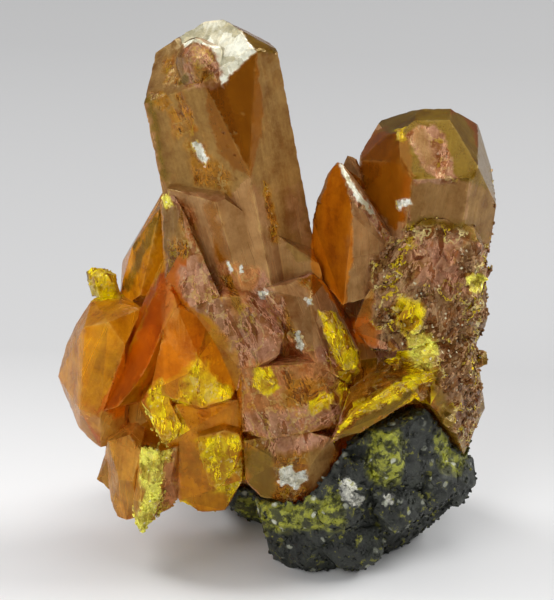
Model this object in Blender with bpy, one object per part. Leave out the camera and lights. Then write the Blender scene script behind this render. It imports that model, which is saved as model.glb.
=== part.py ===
# Orpiment specimen: a cluster of intergrown orange crystals standing on a dark rock.
# Pieces are cut in millimetres and scaled to metres at the end. X runs right, Y away from the viewer, Z up.
# A bearing is an angle about the upright: 0 faces the viewer, 90 the right, 180 the back, -90 the left.

import math
import random

import bmesh
import bpy
from mathutils import Matrix, Vector

# Driving dimensions
MM = 0.001
SEAT_GAP = 0.3        # between the crystals and the rock that grips them
BLANK = 160.0         # side of the cube that every cut piece starts as
BASE_CUT = 0.0        # height of the flat sawn under the rock

# Patches of small crystals on the front: how many, the (x, z) corners of the patch, radius in mm
DRUSE = [
    {"count": 26, "low": (7.5, 17.5), "high": (17.5, 29.0), "size": 0.75, "seed": 101},
    {"count": 12, "low": (11.5, 12.5), "high": (17.5, 18.0), "size": 0.65, "seed": 102},
    {"count": 8, "low": (-2.0, 13.0), "high": (6.5, 25.0), "size": 0.5, "seed": 103},
]

ORPIMENT = {"name": "orpiment", "colour": (0.62, 0.25, 0.03, 1.0), "roughness": 0.18}
ROCK = {"name": "dark_rock", "colour": (0.045, 0.055, 0.05, 1.0), "roughness": 0.85}


def clear_scene():
    for obj in list(bpy.data.objects):
        bpy.data.objects.remove(obj)


def make_material(recipe):
    material = bpy.data.materials.new(recipe["name"])
    material.use_nodes = True
    shader = material.node_tree.nodes["Principled BSDF"]
    shader.inputs["Base Color"].default_value = recipe["colour"]
    shader.inputs["Roughness"].default_value = recipe["roughness"]
    shader.inputs["Metallic"].default_value = 0.0
    return material


def facing(bearing, elevation):
    """The unit vector that faces a bearing, tipped up by an elevation, both in degrees."""
    b = math.radians(bearing)
    e = math.radians(elevation)
    return Vector((math.sin(b) * math.cos(e), -math.cos(b) * math.cos(e), math.sin(e)))


def cut_face(bm, point, normal, grow=0.0):
    """Slices off what lies beyond a plane and closes the cut with one flat face."""
    at = Vector(point) + normal * grow
    everything = bm.verts[:] + bm.edges[:] + bm.faces[:]
    cut = bmesh.ops.bisect_plane(bm, geom=everything, plane_co=at, plane_no=normal, clear_outer=True)
    rim = [e for e in cut["geom_cut"] if isinstance(e, bmesh.types.BMEdge)]
    if rim:
        bmesh.ops.contextual_create(bm, geom=rim)


def crystal(foot, tip, sides, ends, grow=0.0):
    """A prism from foot to tip: side faces by bearing and distance from its axis, end faces by bearing,
    elevation and a point that each passes through."""
    bm = bmesh.new()
    bmesh.ops.create_cube(bm, size=BLANK)
    foot = Vector(foot)
    axis = (Vector(tip) - foot).normalized()
    upright = Vector((0, 0, 1)) if axis.z > 0 else Vector((0, 0, -1))
    lean = upright.rotation_difference(axis)
    for bearing, distance in sides:
        outward = lean @ facing(bearing, 0)
        cut_face(bm, foot + outward * distance, outward, grow)
    cut_face(bm, foot, -axis, grow)
    cut_face(bm, tip, axis, grow)
    for bearing, elevation, point in ends:
        cut_face(bm, point, facing(bearing, elevation), grow)
    return bm


def nugget(centre, radii, faces, seed, grow=0.0):
    """A lump bounded by flat cleavage faces, each touching an ellipsoid, in directions spread over a
    sphere and jittered by the seed."""
    rng = random.Random(seed)
    bm = bmesh.new()
    bmesh.ops.create_cube(bm, size=BLANK)
    golden = math.pi * (3 - math.sqrt(5))
    for i in range(faces):
        z = 1 - 2 * (i + 0.5) / faces + rng.uniform(-0.8, 0.8) / faces
        z = max(-1.0, min(1.0, z))
        around = i * golden + rng.uniform(-0.35, 0.35)
        ring = math.sqrt(1 - z * z)
        n = Vector((ring * math.cos(around), ring * math.sin(around), z))
        touch = Vector((n.x * radii[0], n.y * radii[1], n.z * radii[2])) * rng.uniform(0.86, 1.04)
        out = Vector((n.x / radii[0], n.y / radii[1], n.z / radii[2])).normalized()
        cut_face(bm, Vector(centre) + touch, out, grow)
    return bm


def shard(corners, grow=0.0):
    """The faceted lump that has these corners."""
    bm = bmesh.new()
    for corner in corners:
        bm.verts.new(corner)
    hull = bmesh.ops.convex_hull(bm, input=bm.verts[:])
    inner = {v for v in hull["geom_interior"] if isinstance(v, bmesh.types.BMVert)}
    bmesh.ops.delete(bm, geom=list(inner), context="VERTS")
    if grow:
        bmesh.ops.recalc_face_normals(bm, faces=bm.faces)
        planes = [(f.calc_center_median(), f.normal.copy()) for f in bm.faces]
        bm.free()
        bm = bmesh.new()
        bmesh.ops.create_cube(bm, size=BLANK)
        for point, normal in planes:
            cut_face(bm, point, normal, grow)
    return bm


def finish_mesh(bm, name, collection, material):
    bmesh.ops.recalc_face_normals(bm, faces=bm.faces)
    mesh = bpy.data.meshes.new(name)
    bm.to_mesh(mesh)
    bm.free()
    mesh.materials.append(material)
    obj = bpy.data.objects.new(name, mesh)
    collection.objects.link(obj)
    return obj


def tall_group():
    """The tall crystal, which leans to the left, the step in front of it and what grows at its foot."""
    yield crystal, dict(
        foot=(1.2, 0, 7), tip=(-6.4, 0, 48.5),
        sides=[(-28, 3.15), (46, 4.33), (100, 5.5), (176, 4.2), (-115, 5.3)],
        ends=[
            (-40, 52, (-2.0, -2.5, 45.1)),
            (57, 66, (-2.0, -2.5, 45.1)),
            (80, 45, (-0.8, -0.5, 45.2)),
            (8, 13.5, (-2.0, -2.1, 45.1)),
            (-50, 38, (-8.0, 1.6, 44.6)),
            (-72, 25, (-10.5, 1.0, 43.3)),
            (-120, 52, (-8.9, 2.5, 44.5)),
            (-140, 48, (-7.2, 2.5, 45.7)),
            (170, 55, (-4.9, 2.8, 46.1)),
            (110, 60, (-2.6, 2.0, 45.6)),
        ],
    )
    yield nugget, dict(centre=(-6.3, -1.4, 43.7), radii=(1.9, 1.7, 2.3), faces=26, seed=8)
    yield crystal, dict(
        foot=(1.5, -0.6, 8), tip=(-6.3, -0.6, 37),
        sides=[(-38, 2.95), (17, 3.75), (100, 6.4), (180, 3.0), (-110, 3.3)],
        ends=[(78, 49, (-4.7, -4.4, 33.4)), (-30, 72, (-6.9, -3.6, 32.8))],
    )
    # Fringe
    yield shard, dict(corners=[
        (-9.5, -1, 32.3), (-8.7, -1.5, 32.7), (-7.9, -2.8, 32), (-7.5, -3.4, 29.2), (-6.7, -3.9, 27.5),
        (-8.8, -2.2, 26.9), (-9.3, -1.6, 29), (-9.8, -0.8, 31.4), (-9.4, -2.6, 25.4),
        (-8.2, -3.2, 23.7), (-7.5, -3.9, 23.3), (-6.4, -4.2, 23.4), (-4.6, -4.9, 24.5), (-8.5, 1, 32),
        (-6, 1, 24),
    ])
    # Foot left
    yield shard, dict(corners=[
        (-7.5, -3.9, 23.4), (-6.4, -4.2, 23.5), (-5.2, -4.6, 22.5), (-3.9, -5, 20.5), (-3.6, -5.2, 19),
        (-3.4, -5.5, 16.6), (-1.6, -5.7, 22.9), (-3.1, -5.2, 24.9), (-4.6, -4.9, 24.8),
        (0.6, -5.9, 21.6), (0.2, -6.1, 20.1), (-1.6, -6.3, 19.1), (-3, -5.9, 18.7), (-4.5, -1, 26),
        (0, -1, 26), (0, 0, 16), (-4.5, 0, 16),
    ])
    # Foot right
    yield shard, dict(corners=[
        (-1.2, -5.2, 25.6), (1.1, -4.8, 25.9), (3, -3, 26.2), (4, -3, 25.3), (4.8, -3, 23.7),
        (5.5, -3.2, 22.4), (6.9, -3.7, 19.6), (7.1, -3.9, 17.8), (6.1, -4.3, 16.7), (2.7, -5.4, 24.7),
        (1.9, -6, 22.2), (3.2, -6.3, 19.4), (4.4, -6, 18.5), (2.6, 0, 25.5), (6.3, 0, 21), (7, 0, 17),
        (1, 0, 16),
    ])
    # Yellow strip
    yield shard, dict(corners=[
        (3.5, -4.9, 23.7), (4.7, -4.4, 23.1), (5.3, -4.1, 22.3), (6.7, -4.3, 19.6), (6.8, -4.6, 18.5),
        (5.8, -5.8, 18.4), (4.7, -6.5, 20.2), (3.8, -6.2, 22.1), (4.9, -6, 21.8), (4, -2, 24),
        (6.5, -2, 17),
    ])
    # Foot shelf
    yield shard, dict(corners=[
        (-3, -5.9, 18.7), (-1.6, -6.4, 19.1), (3.2, -6.4, 19.5), (5.7, -5, 17), (6.3, -4.6, 14.1),
        (5.1, -6, 13.6), (2.1, -7.2, 13.4), (-0.8, -7, 12.8), (-2.9, -6, 13.1), (-3.4, -5.3, 16.5),
        (1.1, -6.8, 16.8), (-3, 0, 19), (6, 0, 18), (6, 0, 11), (-3, 0, 10),
    ])
    # Brown lump
    yield shard, dict(corners=[
        (-2.9, -5.8, 12.2), (-0.8, -6.5, 12.8), (2.1, -6.8, 13.6), (4.5, -6.3, 12.7), (5.2, -5.8, 10.9),
        (4.2, -5.8, 7.6), (3.5, -5.6, 6.6), (1.1, -6.2, 6.4), (-1.4, -5.7, 7), (-2.7, -5.5, 8.4),
        (0.3, -7.4, 10.9), (2.9, -7.2, 10.6), (1.9, -7, 8), (-3, 0, 11), (6, 0, 11), (4, 0, 5),
        (-3, 0, 6),
    ])


def right_group():
    """The blocky crystal on the right, the blade in front of it and the glittering column below."""
    yield crystal, dict(
        foot=(11.2, 3, 14), tip=(14.2, 3, 41),
        sides=[(3, 5.1), (47, 5.2), (95, 5.2), (140, 5.0), (185, 5.0), (-125, 5.6), (-90, 6.4), (-49, 5.1)],
        ends=[
            (0, 80, (13.5, 3.0, 38.0)),
            (2, 50, (13.0, -2.3, 34.0)),
            (-80, 62, (9.9, 3.0, 37.1)),
            (-80, 42, (8.2, 3.0, 35.7)),
            (-55, 33, (10.9, -1.0, 36.0)),
            (75, 45, (15.7, 3.0, 36.9)),
            (50, 42, (16.6, -1.0, 35.0)),
            (82, 20, (17.5, 3.0, 34.2)),
            (180, 45, (13.0, 5.5, 37.3)),
        ],
    )
    # Blade
    yield shard, dict(corners=[
        (5, -1, 35.3), (4.2, -0.6, 34.1), (3.8, -0.5, 32.3), (3.3, -0.4, 31.6), (3, -0.3, 30),
        (2.9, -0.6, 26), (4.6, -2, 24), (5.7, -2.6, 34.1), (6.2, -3.7, 31.5), (6.2, -4, 27.9),
        (5.5, -4.1, 23.7), (5.4, -1.3, 35.2), (6.4, -1.6, 33.5), (7.8, -1.8, 31.6), (8.8, -1.8, 30),
        (9.6, -1.8, 28.9), (9.4, -2.1, 27.9), (7.7, -3, 25.2), (7.3, -3.5, 24.1), (5, 2, 34),
        (5, 2, 24), (9, 1.5, 30),
    ])
    # Back shard
    yield shard, dict(corners=[
        (5.5, 1, 34.3), (5.9, 1.5, 35.1), (6.7, 1.8, 34.7), (7.1, 1, 33.1), (6, 3, 33), (8, 3, 31),
        (5.7, 1, 32.2),
    ])
    # Druse column
    yield shard, dict(corners=[
        (12.8, -4.5, 20.3), (16.3, -3, 20.2), (17.1, 0, 18.6), (17, 0, 16.5), (17.6, 0.3, 14.2),
        (18, 0.3, 12.6), (17.1, 0, 10.5), (16.2, -0.5, 8.6), (12.9, -5, 15.1), (14.1, -5, 17.4),
        (15.2, -3.5, 12.2), (16, 5, 22), (16, 6, 12), (10, 5, 12), (10, 4, 22), (15.4, -4, 18.3),
    ])
    # Flake
    yield shard, dict(corners=[
        (4.4, -7.2, 12.6), (7, -7.2, 13.5), (8.9, -6.8, 15), (11.1, -6.3, 15.9), (12.7, -5.6, 16.8),
        (4.8, -7.6, 13.5), (6.3, -7, 15.4), (9.7, -6.5, 17.5), (11.3, -6, 17.8), (13.2, -5.2, 17.7),
        (6.2, -4.6, 16.6), (8.2, -3.6, 17.8), (10.1, -3, 18.1), (6, -3, 14.5), (12.5, -2, 17.5),
    ])
    # Druse wall
    yield shard, dict(corners=[
        (8.9, -3, 26.6), (7.3, -3.5, 24.1), (6.3, -3.6, 21.3), (8, -4.2, 19.8), (11, -2.6, 29.7),
        (12.1, -2.4, 30.6), (13.8, -2.2, 30.8), (15.5, -2, 29.7), (16.9, -0.5, 28.7), (17.3, 0, 27.4),
        (17.6, 0, 25.8), (17.7, 0, 23.7), (18, 0, 21.2), (17.7, 0, 20), (17, 0, 18.6),
        (10.2, -4.6, 24.4), (12.7, -4, 27.7), (14.8, -3.8, 25), (13.6, -5, 21), (15.8, -3, 21.1),
        (10.7, -5.2, 20.2), (16.1, -2.4, 27.6), (15, 4, 28), (9, 4, 28), (16, 4, 19), (8, 4, 17),
    ])
    lumps = [
        ((14.4, -0.6, 27.2), (3.2, 3.3, 2.9), 22, 11),
        ((14.3, -0.4, 22.9), (3.0, 3.8, 3.2), 22, 12),
        ((10.3, -1.4, 24.6), (2.9, 2.9, 2.9), 20, 13),
        ((11.9, -1.4, 20.0), (3.8, 3.3, 3.0), 22, 14),
        ((11.5, 4.0, 18.5), (5.5, 4.5, 6.5), 20, 17),
    ]
    for centre, radii, faces, seed in lumps:
        yield nugget, dict(centre=centre, radii=radii, faces=faces, seed=seed)


def left_group():
    """The left side: a smooth blade behind, a frosted lump, a long red blade and the yellow mass."""
    # Smooth blade
    yield shard, dict(corners=[
        (-9.1, 4, 31.8), (-9.7, 3.5, 31.3), (-12.4, 3, 26.5), (-12.5, 3, 26), (-13.3, 3, 23.3),
        (-13.6, 2.5, 20.9), (-9.9, 1.5, 30.4), (-11.6, 0.2, 23.1), (-7.8, 2, 29.6), (-8.1, 1, 22.3),
        (-8.5, 7, 31.5), (-13.5, 6.5, 24), (-14, 6.5, 18), (-7, 7, 20),
    ])
    # Frosted lump
    yield shard, dict(corners=[
        (-15.8, 1, 22.4), (-13.1, -0.5, 22.6), (-11.4, -1, 22.3), (-16.2, -3, 21.4), (-14.1, -4, 22.2),
        (-16.7, -4, 14.3), (-14.9, -5, 13.9), (-12.7, -4.5, 20.3), (-17.1, 0, 20.6), (-18.1, 0.5, 18.4),
        (-18.9, 0.5, 15.5), (-17.8, -1, 13.5), (-16.9, -2, 11.5), (-15.1, -3, 10.3), (-13, -3, 11.1),
        (-14, 5, 22), (-18, 5, 17), (-17, 4.5, 12), (-12, 5, 11),
    ])
    # Yellow knob
    yield shard, dict(corners=[
        (-16.4, 3, 24.2), (-16.4, 3, 23.5), (-15.9, 3, 24.6), (-14.9, 3, 24.5), (-13.8, 3, 24),
        (-16, 3, 22), (-15.7, 1.8, 24.2), (-14.4, 1.6, 24.3), (-15.2, 1.5, 22.4), (-13.4, 2, 22),
        (-15.8, 4.6, 23.8), (-14.3, 4.6, 23.5), (-15.4, 4.8, 21.1),
    ])
    # Red blade
    yield shard, dict(corners=[
        (-9.1, -2.5, 25.7), (-8.4, -3, 24.7), (-10.2, -2.8, 24.3), (-11.9, -3.5, 20.3),
        (-13.3, -4, 17.6), (-15.3, -4.5, 14.1), (-8.3, -4.2, 23.7), (-9.5, -5, 21.8),
        (-10.7, -5.6, 19.1), (-11.9, -5.8, 17.1), (-13.4, -5.6, 15.2), (-6.5, 1, 25), (-9, 1, 28),
        (-12, 0, 13), (-8, 1, 14),
    ])
    # Yellow mass
    yield shard, dict(corners=[
        (-8.4, -4.2, 23.7), (-5.8, -4.2, 22.4), (-4.6, -4, 21.8), (-3.8, -4.5, 19.9),
        (-3.5, -5.5, 16.8), (-3.8, -6, 16.1), (-6.3, -6.6, 15.5), (-8.3, -6.3, 16.1),
        (-10.6, -5.9, 16.7), (-6.5, -6, 19.8), (-7.4, -6.3, 18.5), (-9.5, -5, 21.8), (-5, -1, 22),
        (-8, -1, 23.5), (-4, 0, 12), (-10, 0, 12),
    ])
    # Left facet
    yield shard, dict(corners=[
        (-10.5, -5.6, 17.1), (-9.8, -5.8, 17.7), (-8, -6.4, 13.9), (-8.4, -6.4, 12.8),
        (-9.6, -6.4, 12.2), (-10.6, -6.1, 14.8), (-11.5, -5.4, 15.7), (-11, -1, 17), (-7, -1, 12),
        (-12, -1, 13),
    ])
    # Right facet
    yield shard, dict(corners=[
        (-6.7, -6.6, 12.9), (-4.4, -6.6, 13.5), (-3.1, -6.2, 13), (-2.9, -6.2, 11.8), (-3.6, -6.8, 10),
        (-5.1, -6.6, 8), (-5.7, -6.8, 8.7), (-6.5, -7.1, 11.4), (-7, -1, 14), (-3, -1, 14), (-3, -1, 8),
        (-6, -1, 7),
    ])
    # Red recess
    yield shard, dict(corners=[
        (-8.5, -5.8, 15.5), (-3.1, -5.2, 15.7), (-2.9, -5.6, 8.5), (-4.4, -4.6, 5.2), (-6.4, -4.4, 4.9),
        (-8.4, -4.8, 6.2), (-9.4, -5.8, 11.8), (-7.3, -6.1, 13.3), (-10, 1, 14), (-3, 1, 14),
        (-3, 1, 5.5), (-9, 1, 5.5),
    ])
    # Pink prism
    yield shard, dict(corners=[
        (-14.4, -4.2, 11.5), (-12.4, -5.3, 12.5), (-11.5, -6.2, 11.5), (-14.8, -3.2, 9.3),
        (-14.3, -3.6, 6.6), (-14.2, -4, 5.5), (-13.7, -4.3, 4.5), (-12.9, -4.9, 4.4), (-12, -5.4, 4.9),
        (-12.2, -6.4, 8.7), (-13.4, -5.6, 8.5), (-14.5, 0, 12), (-11, 0, 13), (-14.5, -0.5, 6.5),
        (-11.5, 0, 6),
    ])
    # Spike
    yield shard, dict(corners=[
        (-11.4, -6.4, 11.9), (-9.8, -6.7, 11.6), (-10.6, -7.1, 9.2), (-9.6, -6.2, 7.6),
        (-12.2, -6.1, 6.9), (-12.1, -5.7, 4.1), (-11.5, -5.6, 3.6), (-10.9, -5.5, 4.2),
        (-10.3, -5.2, 4.9), (-11.5, -6.8, 6.9), (-13, -2, 9), (-9, -2, 9), (-11.5, -3, 5),
    ])
    # Spike side
    yield shard, dict(corners=[
        (-10, -6.3, 11.4), (-8.3, -6.2, 11.9), (-8.5, -5.1, 6.4), (-9.3, -4.7, 5.2), (-10.3, -4.8, 4.7),
        (-10.2, -6.6, 8.9), (-9, -6.2, 8.8), (-10, 0, 11), (-7, 0, 11), (-8.5, 0, 6),
    ])
    # Side spike
    yield shard, dict(corners=[
        (-14.7, -3.2, 9.9), (-15.5, -3, 7.4), (-15, -3.2, 8.4), (-14.3, -3.2, 6.4), (-13.5, -4.6, 9.2),
        (-14, -4.2, 10.6), (-14.3, -0.5, 9.5), (-13, 0, 8),
    ])


def back_group():
    """The mass behind that ties the crystals together, with a few crystals of its own."""
    lumps = [
        ((-1.5, 3.0, 12.0), (9.0, 5.5, 7.5), 22, 31),
        ((7.0, 3.5, 14.0), (6.5, 5.5, 7.0), 22, 32),
        ((-9.5, 2.0, 13.5), (5.5, 5.0, 6.0), 20, 33),
    ]
    for centre, radii, faces, seed in lumps:
        yield nugget, dict(centre=centre, radii=radii, faces=faces, seed=seed)
    hexagon = [(-60, 2.2), (0, 2.0), (60, 2.3), (120, 2.1), (180, 2.0), (-120, 2.2)]
    crystals = [
        ((2.0, 4.5, 10.0), (5.0, 8.6, 26.0), 150),
        ((-6.0, 5.0, 10.0), (-10.6, 8.4, 22.0), -150),
        ((10.0, 5.0, 12.0), (12.6, 9.4, 24.0), 170),
    ]
    for foot, tip, bearing in crystals:
        yield crystal, dict(
            foot=foot, tip=tip, sides=hexagon,
            ends=[(bearing, 40, tip), (bearing - 100, 50, tip), (bearing + 110, 55, tip)],
        )


def rock_group():
    """The dark rock under and behind the crystals."""
    # Rock front
    yield shard, dict(corners=[
        (-2, -4, 6.3), (-1.2, -4.2, 4), (-0.9, -4.2, 1.9), (0.2, -4.6, 1.3), (1.7, -5.2, 0.8),
        (2.1, -5.8, -0.1), (3.1, -6, -0.1), (5.3, -4.6, 0), (9, -3.6, 0), (9.4, -2, 0), (10.8, 2, 0),
        (1.1, -7.6, 5.7), (4.1, -7.6, 4), (3.6, -7.8, 7.4), (6.1, -7.6, 8.9), (6.7, -7.2, 5.5),
        (8.5, -5.4, 3.7), (-1.3, -5.6, 5.9), (2, -6, 7.1), (5.7, -6, 11.4), (8.7, -5, 11), (2, 4, 7),
        (9, 4, 8), (0, 2, 3), (2.4, -5.4, -2), (8.4, -3.2, -2), (10.8, 2, -2), (0.5, 3, -2),
        (0, -3, -1.5),
    ])
    # Rock right
    yield shard, dict(corners=[
        (5.7, -5.5, 11.5), (7.8, -6.2, 13.3), (10.7, -6.2, 13.2), (12.9, -4.5, 14.5), (16.8, 0, 8.9),
        (16.3, 0, 7.3), (15.9, 0.5, 4.9), (15.6, 1, 3.2), (13.8, 1, 3), (12.2, 0.5, 3.2),
        (12.4, 4, 0.2), (10.8, 1.8, 0.1), (9.3, -2, 0.2), (8.8, -6.6, 6.6), (10.8, -6.6, 8.9),
        (13, -5, 9.1), (9, -7.2, 12.9), (14.4, -3, 7.3), (16, 5, 12), (10, 6, 12), (15, 6, 4),
        (9, 6, -2), (11.5, 3.8, -2), (9, -1.4, -2),
    ])
    lumps = [
        ((2.0, 7.0, 4.5), (9.0, 6.0, 7.0), 22, 44),
        ((9.3, 6.5, 5.0), (6.3, 6.0, 8.0), 22, 45),
        ((-3.5, 11.5, 2.8), (6.5, 4.0, 5.8), 20, 46),
        ((9.3, -6.0, 10.9), (1.6, 1.8, 2.4), 18, 47),
        ((1.0, -5.8, 5.6), (2.0, 1.8, 1.5), 16, 48),
        ((5.2, -7.0, 6.2), (1.9, 1.6, 1.6), 16, 49),
        ((6.4, -5.6, 2.6), (2.6, 1.9, 2.2), 16, 50),
        ((2.6, -5.4, 2.2), (2.2, 1.8, 1.8), 16, 51),
        ((10.3, -5.0, 5.6), (2.0, 2.0, 2.2), 16, 52),
        ((13.4, -2.6, 7.0), (2.2, 2.2, 2.4), 16, 53),
        ((15.3, 0.2, 6.0), (1.8, 2.0, 2.4), 16, 54),
        ((11.4, 0.6, 3.2), (2.0, 2.2, 2.2), 16, 55),
        ((6.6, -6.6, 9.4), (1.5, 1.5, 1.6), 16, 56),
    ]
    for centre, radii, faces, seed in lumps:
        yield nugget, dict(centre=centre, radii=radii, faces=faces, seed=seed)


def build_pieces(groups, collection, material, grow=0.0):
    pieces = []
    for group in groups:
        for i, (shape, sizes) in enumerate(group()):
            bm = shape(**sizes, grow=grow)
            pieces.append(finish_mesh(bm, f"{group.__name__}_{i + 1}", collection, material))
    return pieces


def druse(body, count, low, high, size, seed):
    """Small hexagonal crystals that stand on the front of a solid, within a box given as (x, z) corners."""
    rng = random.Random(seed)
    crystals = []
    while len(crystals) < count:
        x = rng.uniform(low[0], high[0])
        z = rng.uniform(low[1], high[1])
        hit, point, normal, _ = body.ray_cast((x, -BLANK, z), (0, 1, 0))
        if not hit:
            continue
        along = (normal + Vector([rng.uniform(-0.5, 0.5) for _ in range(3)])).normalized()
        radius = size * rng.uniform(0.7, 1.3)
        sides = [(60 * i + rng.uniform(-8, 8), radius * rng.uniform(0.8, 1.1)) for i in range(6)]
        tip = point + along * radius * rng.uniform(0.5, 1.0)
        ends = [(rng.uniform(-180, 180), rng.uniform(15, 60), tip - along * 0.2)]
        crystals.append(dict(foot=point - along * 1.2, tip=tip, sides=sides, ends=ends))
    return crystals


def build_druse(small, collection, material, grow=0.0):
    pieces = []
    for i, sizes in enumerate(small):
        pieces.append(finish_mesh(crystal(**sizes, grow=grow), f"druse_{i + 1}", collection, material))
    return pieces


def combine(first, others, operation):
    """Joins or subtracts a collection of solids in one Boolean step and bakes the result."""
    modifier = first.modifiers.new(operation.lower(), "BOOLEAN")
    modifier.operation = operation
    modifier.operand_type = "COLLECTION"
    modifier.collection = others
    modifier.solver = "EXACT"
    graph = bpy.context.evaluated_depsgraph_get()
    mesh = bpy.data.meshes.new_from_object(first.evaluated_get(graph))
    first.modifiers.clear()
    first.data = mesh


def keep_main_shell(solid):
    """Drops the crumbs and the enclosed hollows that a Boolean step can leave."""
    bm = bmesh.new()
    bm.from_mesh(solid.data)
    waiting = set(bm.verts)
    shells = []
    while waiting:
        shell = set()
        front = [waiting.pop()]
        while front:
            vert = front.pop()
            shell.add(vert)
            linked = {e.other_vert(vert) for e in vert.link_edges} & waiting
            waiting -= linked
            front += linked
        shells.append(shell)
    shells.sort(key=len)
    for shell in shells[:-1]:
        bmesh.ops.delete(bm, geom=list(shell), context="VERTS")
    bm.to_mesh(solid.data)
    bm.free()


def union(pieces):
    first = pieces[0]
    others = bpy.data.collections.new("others")
    for piece in pieces[1:]:
        others.objects.link(piece)
    combine(first, others, "UNION")
    for piece in pieces[1:]:
        bpy.data.objects.remove(piece)
    bpy.data.collections.remove(others)
    return first


def centre_on_floor(solids):
    """Moves the solids so that the box round them all is centred over the origin with its foot at z = 0."""
    corners = [v.co for solid in solids for v in solid.data.vertices]
    low = [min(c[axis] for c in corners) for axis in range(3)]
    high = [max(c[axis] for c in corners) for axis in range(3)]
    shift = Vector((-(low[0] + high[0]) / 2, -(low[1] + high[1]) / 2, -low[2]))
    for solid in solids:
        solid.data.transform(Matrix.Translation(shift))
    print("moved by", [round(c, 3) for c in shift])


def settle(obj, name, collection, material):
    """Names a finished solid, scales it to metres and moves it to the specimen's collection."""
    for user in list(obj.users_collection):
        user.objects.unlink(obj)
    collection.objects.link(obj)
    obj.name = name
    obj.data.name = name
    obj.data.transform(Matrix.Scale(MM, 4))
    obj.data.materials.clear()
    obj.data.materials.append(material)


def main():
    clear_scene()
    specimen = bpy.data.collections.new("orpiment_specimen")
    workshop = bpy.data.collections.new("workshop")
    for collection in (specimen, workshop):
        bpy.context.scene.collection.children.link(collection)
    orpiment = make_material(ORPIMENT)
    dark_rock = make_material(ROCK)

    groups = (tall_group, right_group, left_group, back_group)
    crystals = union(build_pieces(groups, workshop, orpiment))
    small = [sizes for patch in DRUSE for sizes in druse(crystals, **patch)]
    crystals = union([crystals] + build_druse(small, workshop, orpiment))
    matrix = union(build_pieces([rock_group], workshop, dark_rock))

    seat = bpy.data.collections.new("seat")
    grown = build_pieces(groups, workshop, orpiment, SEAT_GAP)
    grown += build_druse(small, workshop, orpiment, SEAT_GAP)
    below = bmesh.new()
    bmesh.ops.create_cube(below, size=BLANK, matrix=Matrix.Translation((0, 0, BASE_CUT - BLANK / 2)))
    grown.append(finish_mesh(below, "below_the_saw_cut", workshop, dark_rock))
    for piece in grown:
        seat.objects.link(piece)
    combine(matrix, seat, "DIFFERENCE")
    for piece in list(seat.objects):
        bpy.data.objects.remove(piece)
    bpy.data.collections.remove(seat)
    keep_main_shell(crystals)
    keep_main_shell(matrix)

    centre_on_floor([crystals, matrix])
    settle(crystals, "orpiment_crystals", specimen, orpiment)
    settle(matrix, "rock_matrix", specimen, dark_rock)
    return crystals, matrix


if __name__ == "__main__":
    main()
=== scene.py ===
"""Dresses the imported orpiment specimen: hazed orange crystals with broken yellow faces, on a dark rock."""

import math
from types import SimpleNamespace

import bmesh
import bpy
import numpy as np
from bpy.props import FloatProperty, FloatVectorProperty, IntProperty, PointerProperty
from bpy.types import Operator, Panel, PropertyGroup
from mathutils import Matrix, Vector, noise
from mathutils.bvhtree import BVHTree


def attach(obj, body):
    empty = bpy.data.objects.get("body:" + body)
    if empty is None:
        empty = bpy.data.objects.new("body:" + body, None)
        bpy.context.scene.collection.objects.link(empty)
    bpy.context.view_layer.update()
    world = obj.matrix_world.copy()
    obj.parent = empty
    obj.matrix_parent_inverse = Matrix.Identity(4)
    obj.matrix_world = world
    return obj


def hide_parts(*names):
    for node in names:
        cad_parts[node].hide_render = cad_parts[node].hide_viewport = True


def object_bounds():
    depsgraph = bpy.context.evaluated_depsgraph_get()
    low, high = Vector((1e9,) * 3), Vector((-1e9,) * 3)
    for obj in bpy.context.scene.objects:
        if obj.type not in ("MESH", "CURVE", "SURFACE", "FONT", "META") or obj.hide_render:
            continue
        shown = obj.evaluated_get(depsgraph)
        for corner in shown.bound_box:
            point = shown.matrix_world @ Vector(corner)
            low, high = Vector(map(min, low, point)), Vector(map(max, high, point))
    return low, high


bl_info = {
    "name": "Orpiment Specimen",
    "version": (1, 0, 0),
    "blender": (4, 5, 0),
    "location": "View3D > Sidebar > Specimen",
    "description": "Finishes the orpiment crystals, the rock they grew on and the stage",
    "category": "Object",
}

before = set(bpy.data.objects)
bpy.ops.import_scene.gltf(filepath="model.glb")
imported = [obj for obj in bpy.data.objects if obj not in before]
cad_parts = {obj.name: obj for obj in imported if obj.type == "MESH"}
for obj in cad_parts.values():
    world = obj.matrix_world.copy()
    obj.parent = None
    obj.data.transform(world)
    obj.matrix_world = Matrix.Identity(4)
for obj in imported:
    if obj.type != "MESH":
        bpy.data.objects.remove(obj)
CAD_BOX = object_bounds()

MM = 0.001

# A CAD node's corners are merged within this distance, and its faces within this angle.
WELD = 1e-7
FLAT = math.radians(0.6)

# Long edges are halved this often at most, and beside a patch's crisp border this often more.
# A border is crisp when it is less soft than CRISP, and beside it means nearer than BESIDE, in pixels.
ROUNDS = 7
BORDER_ROUNDS = 2
CRISP = 3
BESIDE = 3

# Facets that meet at less than SMOOTH are shaded as one; at the angle below, their border wears in full, with
# full chips and the full painted rim highlight.
SMOOTH = math.radians(14)
FULL_WEAR_AND_RIM_LIGHT = math.radians(60)

# How far apart things change: a facet's finish, its shade, a patch's border and the chips on an edge.
FINISH_SIZE = 3.5 * MM
SHADE_SIZE = 0.8 * MM
BORDER_SIZE = 1.0 * MM
CHIP_SIZE = 0.9 * MM

# A facet takes its growth's second finish where the noise is above this, and its shade varies so much.
SECOND_FINISH = 0.12
SHADE_SWING = 0.22

# A patch's border strays by this many pixels, and by so much more for each pixel of its softness.
STRAY = 1.5
STRAY_PER_SOFT = 0.7

# Patches fade out on faces that turn from the eye. The cosine at which they are gone, and by how much
# more they are whole.
GRAZING = 0.05
GRAZING_FADE = 0.12

# How far a ray starts from the surface when it looks for the eye.
LIFT = 0.03 * MM

# How much of the noise counts as a chip and as a pit: more with a larger number.
CHIP_SHARE = 0.15
PIT_SHARE = 0.05

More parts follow.
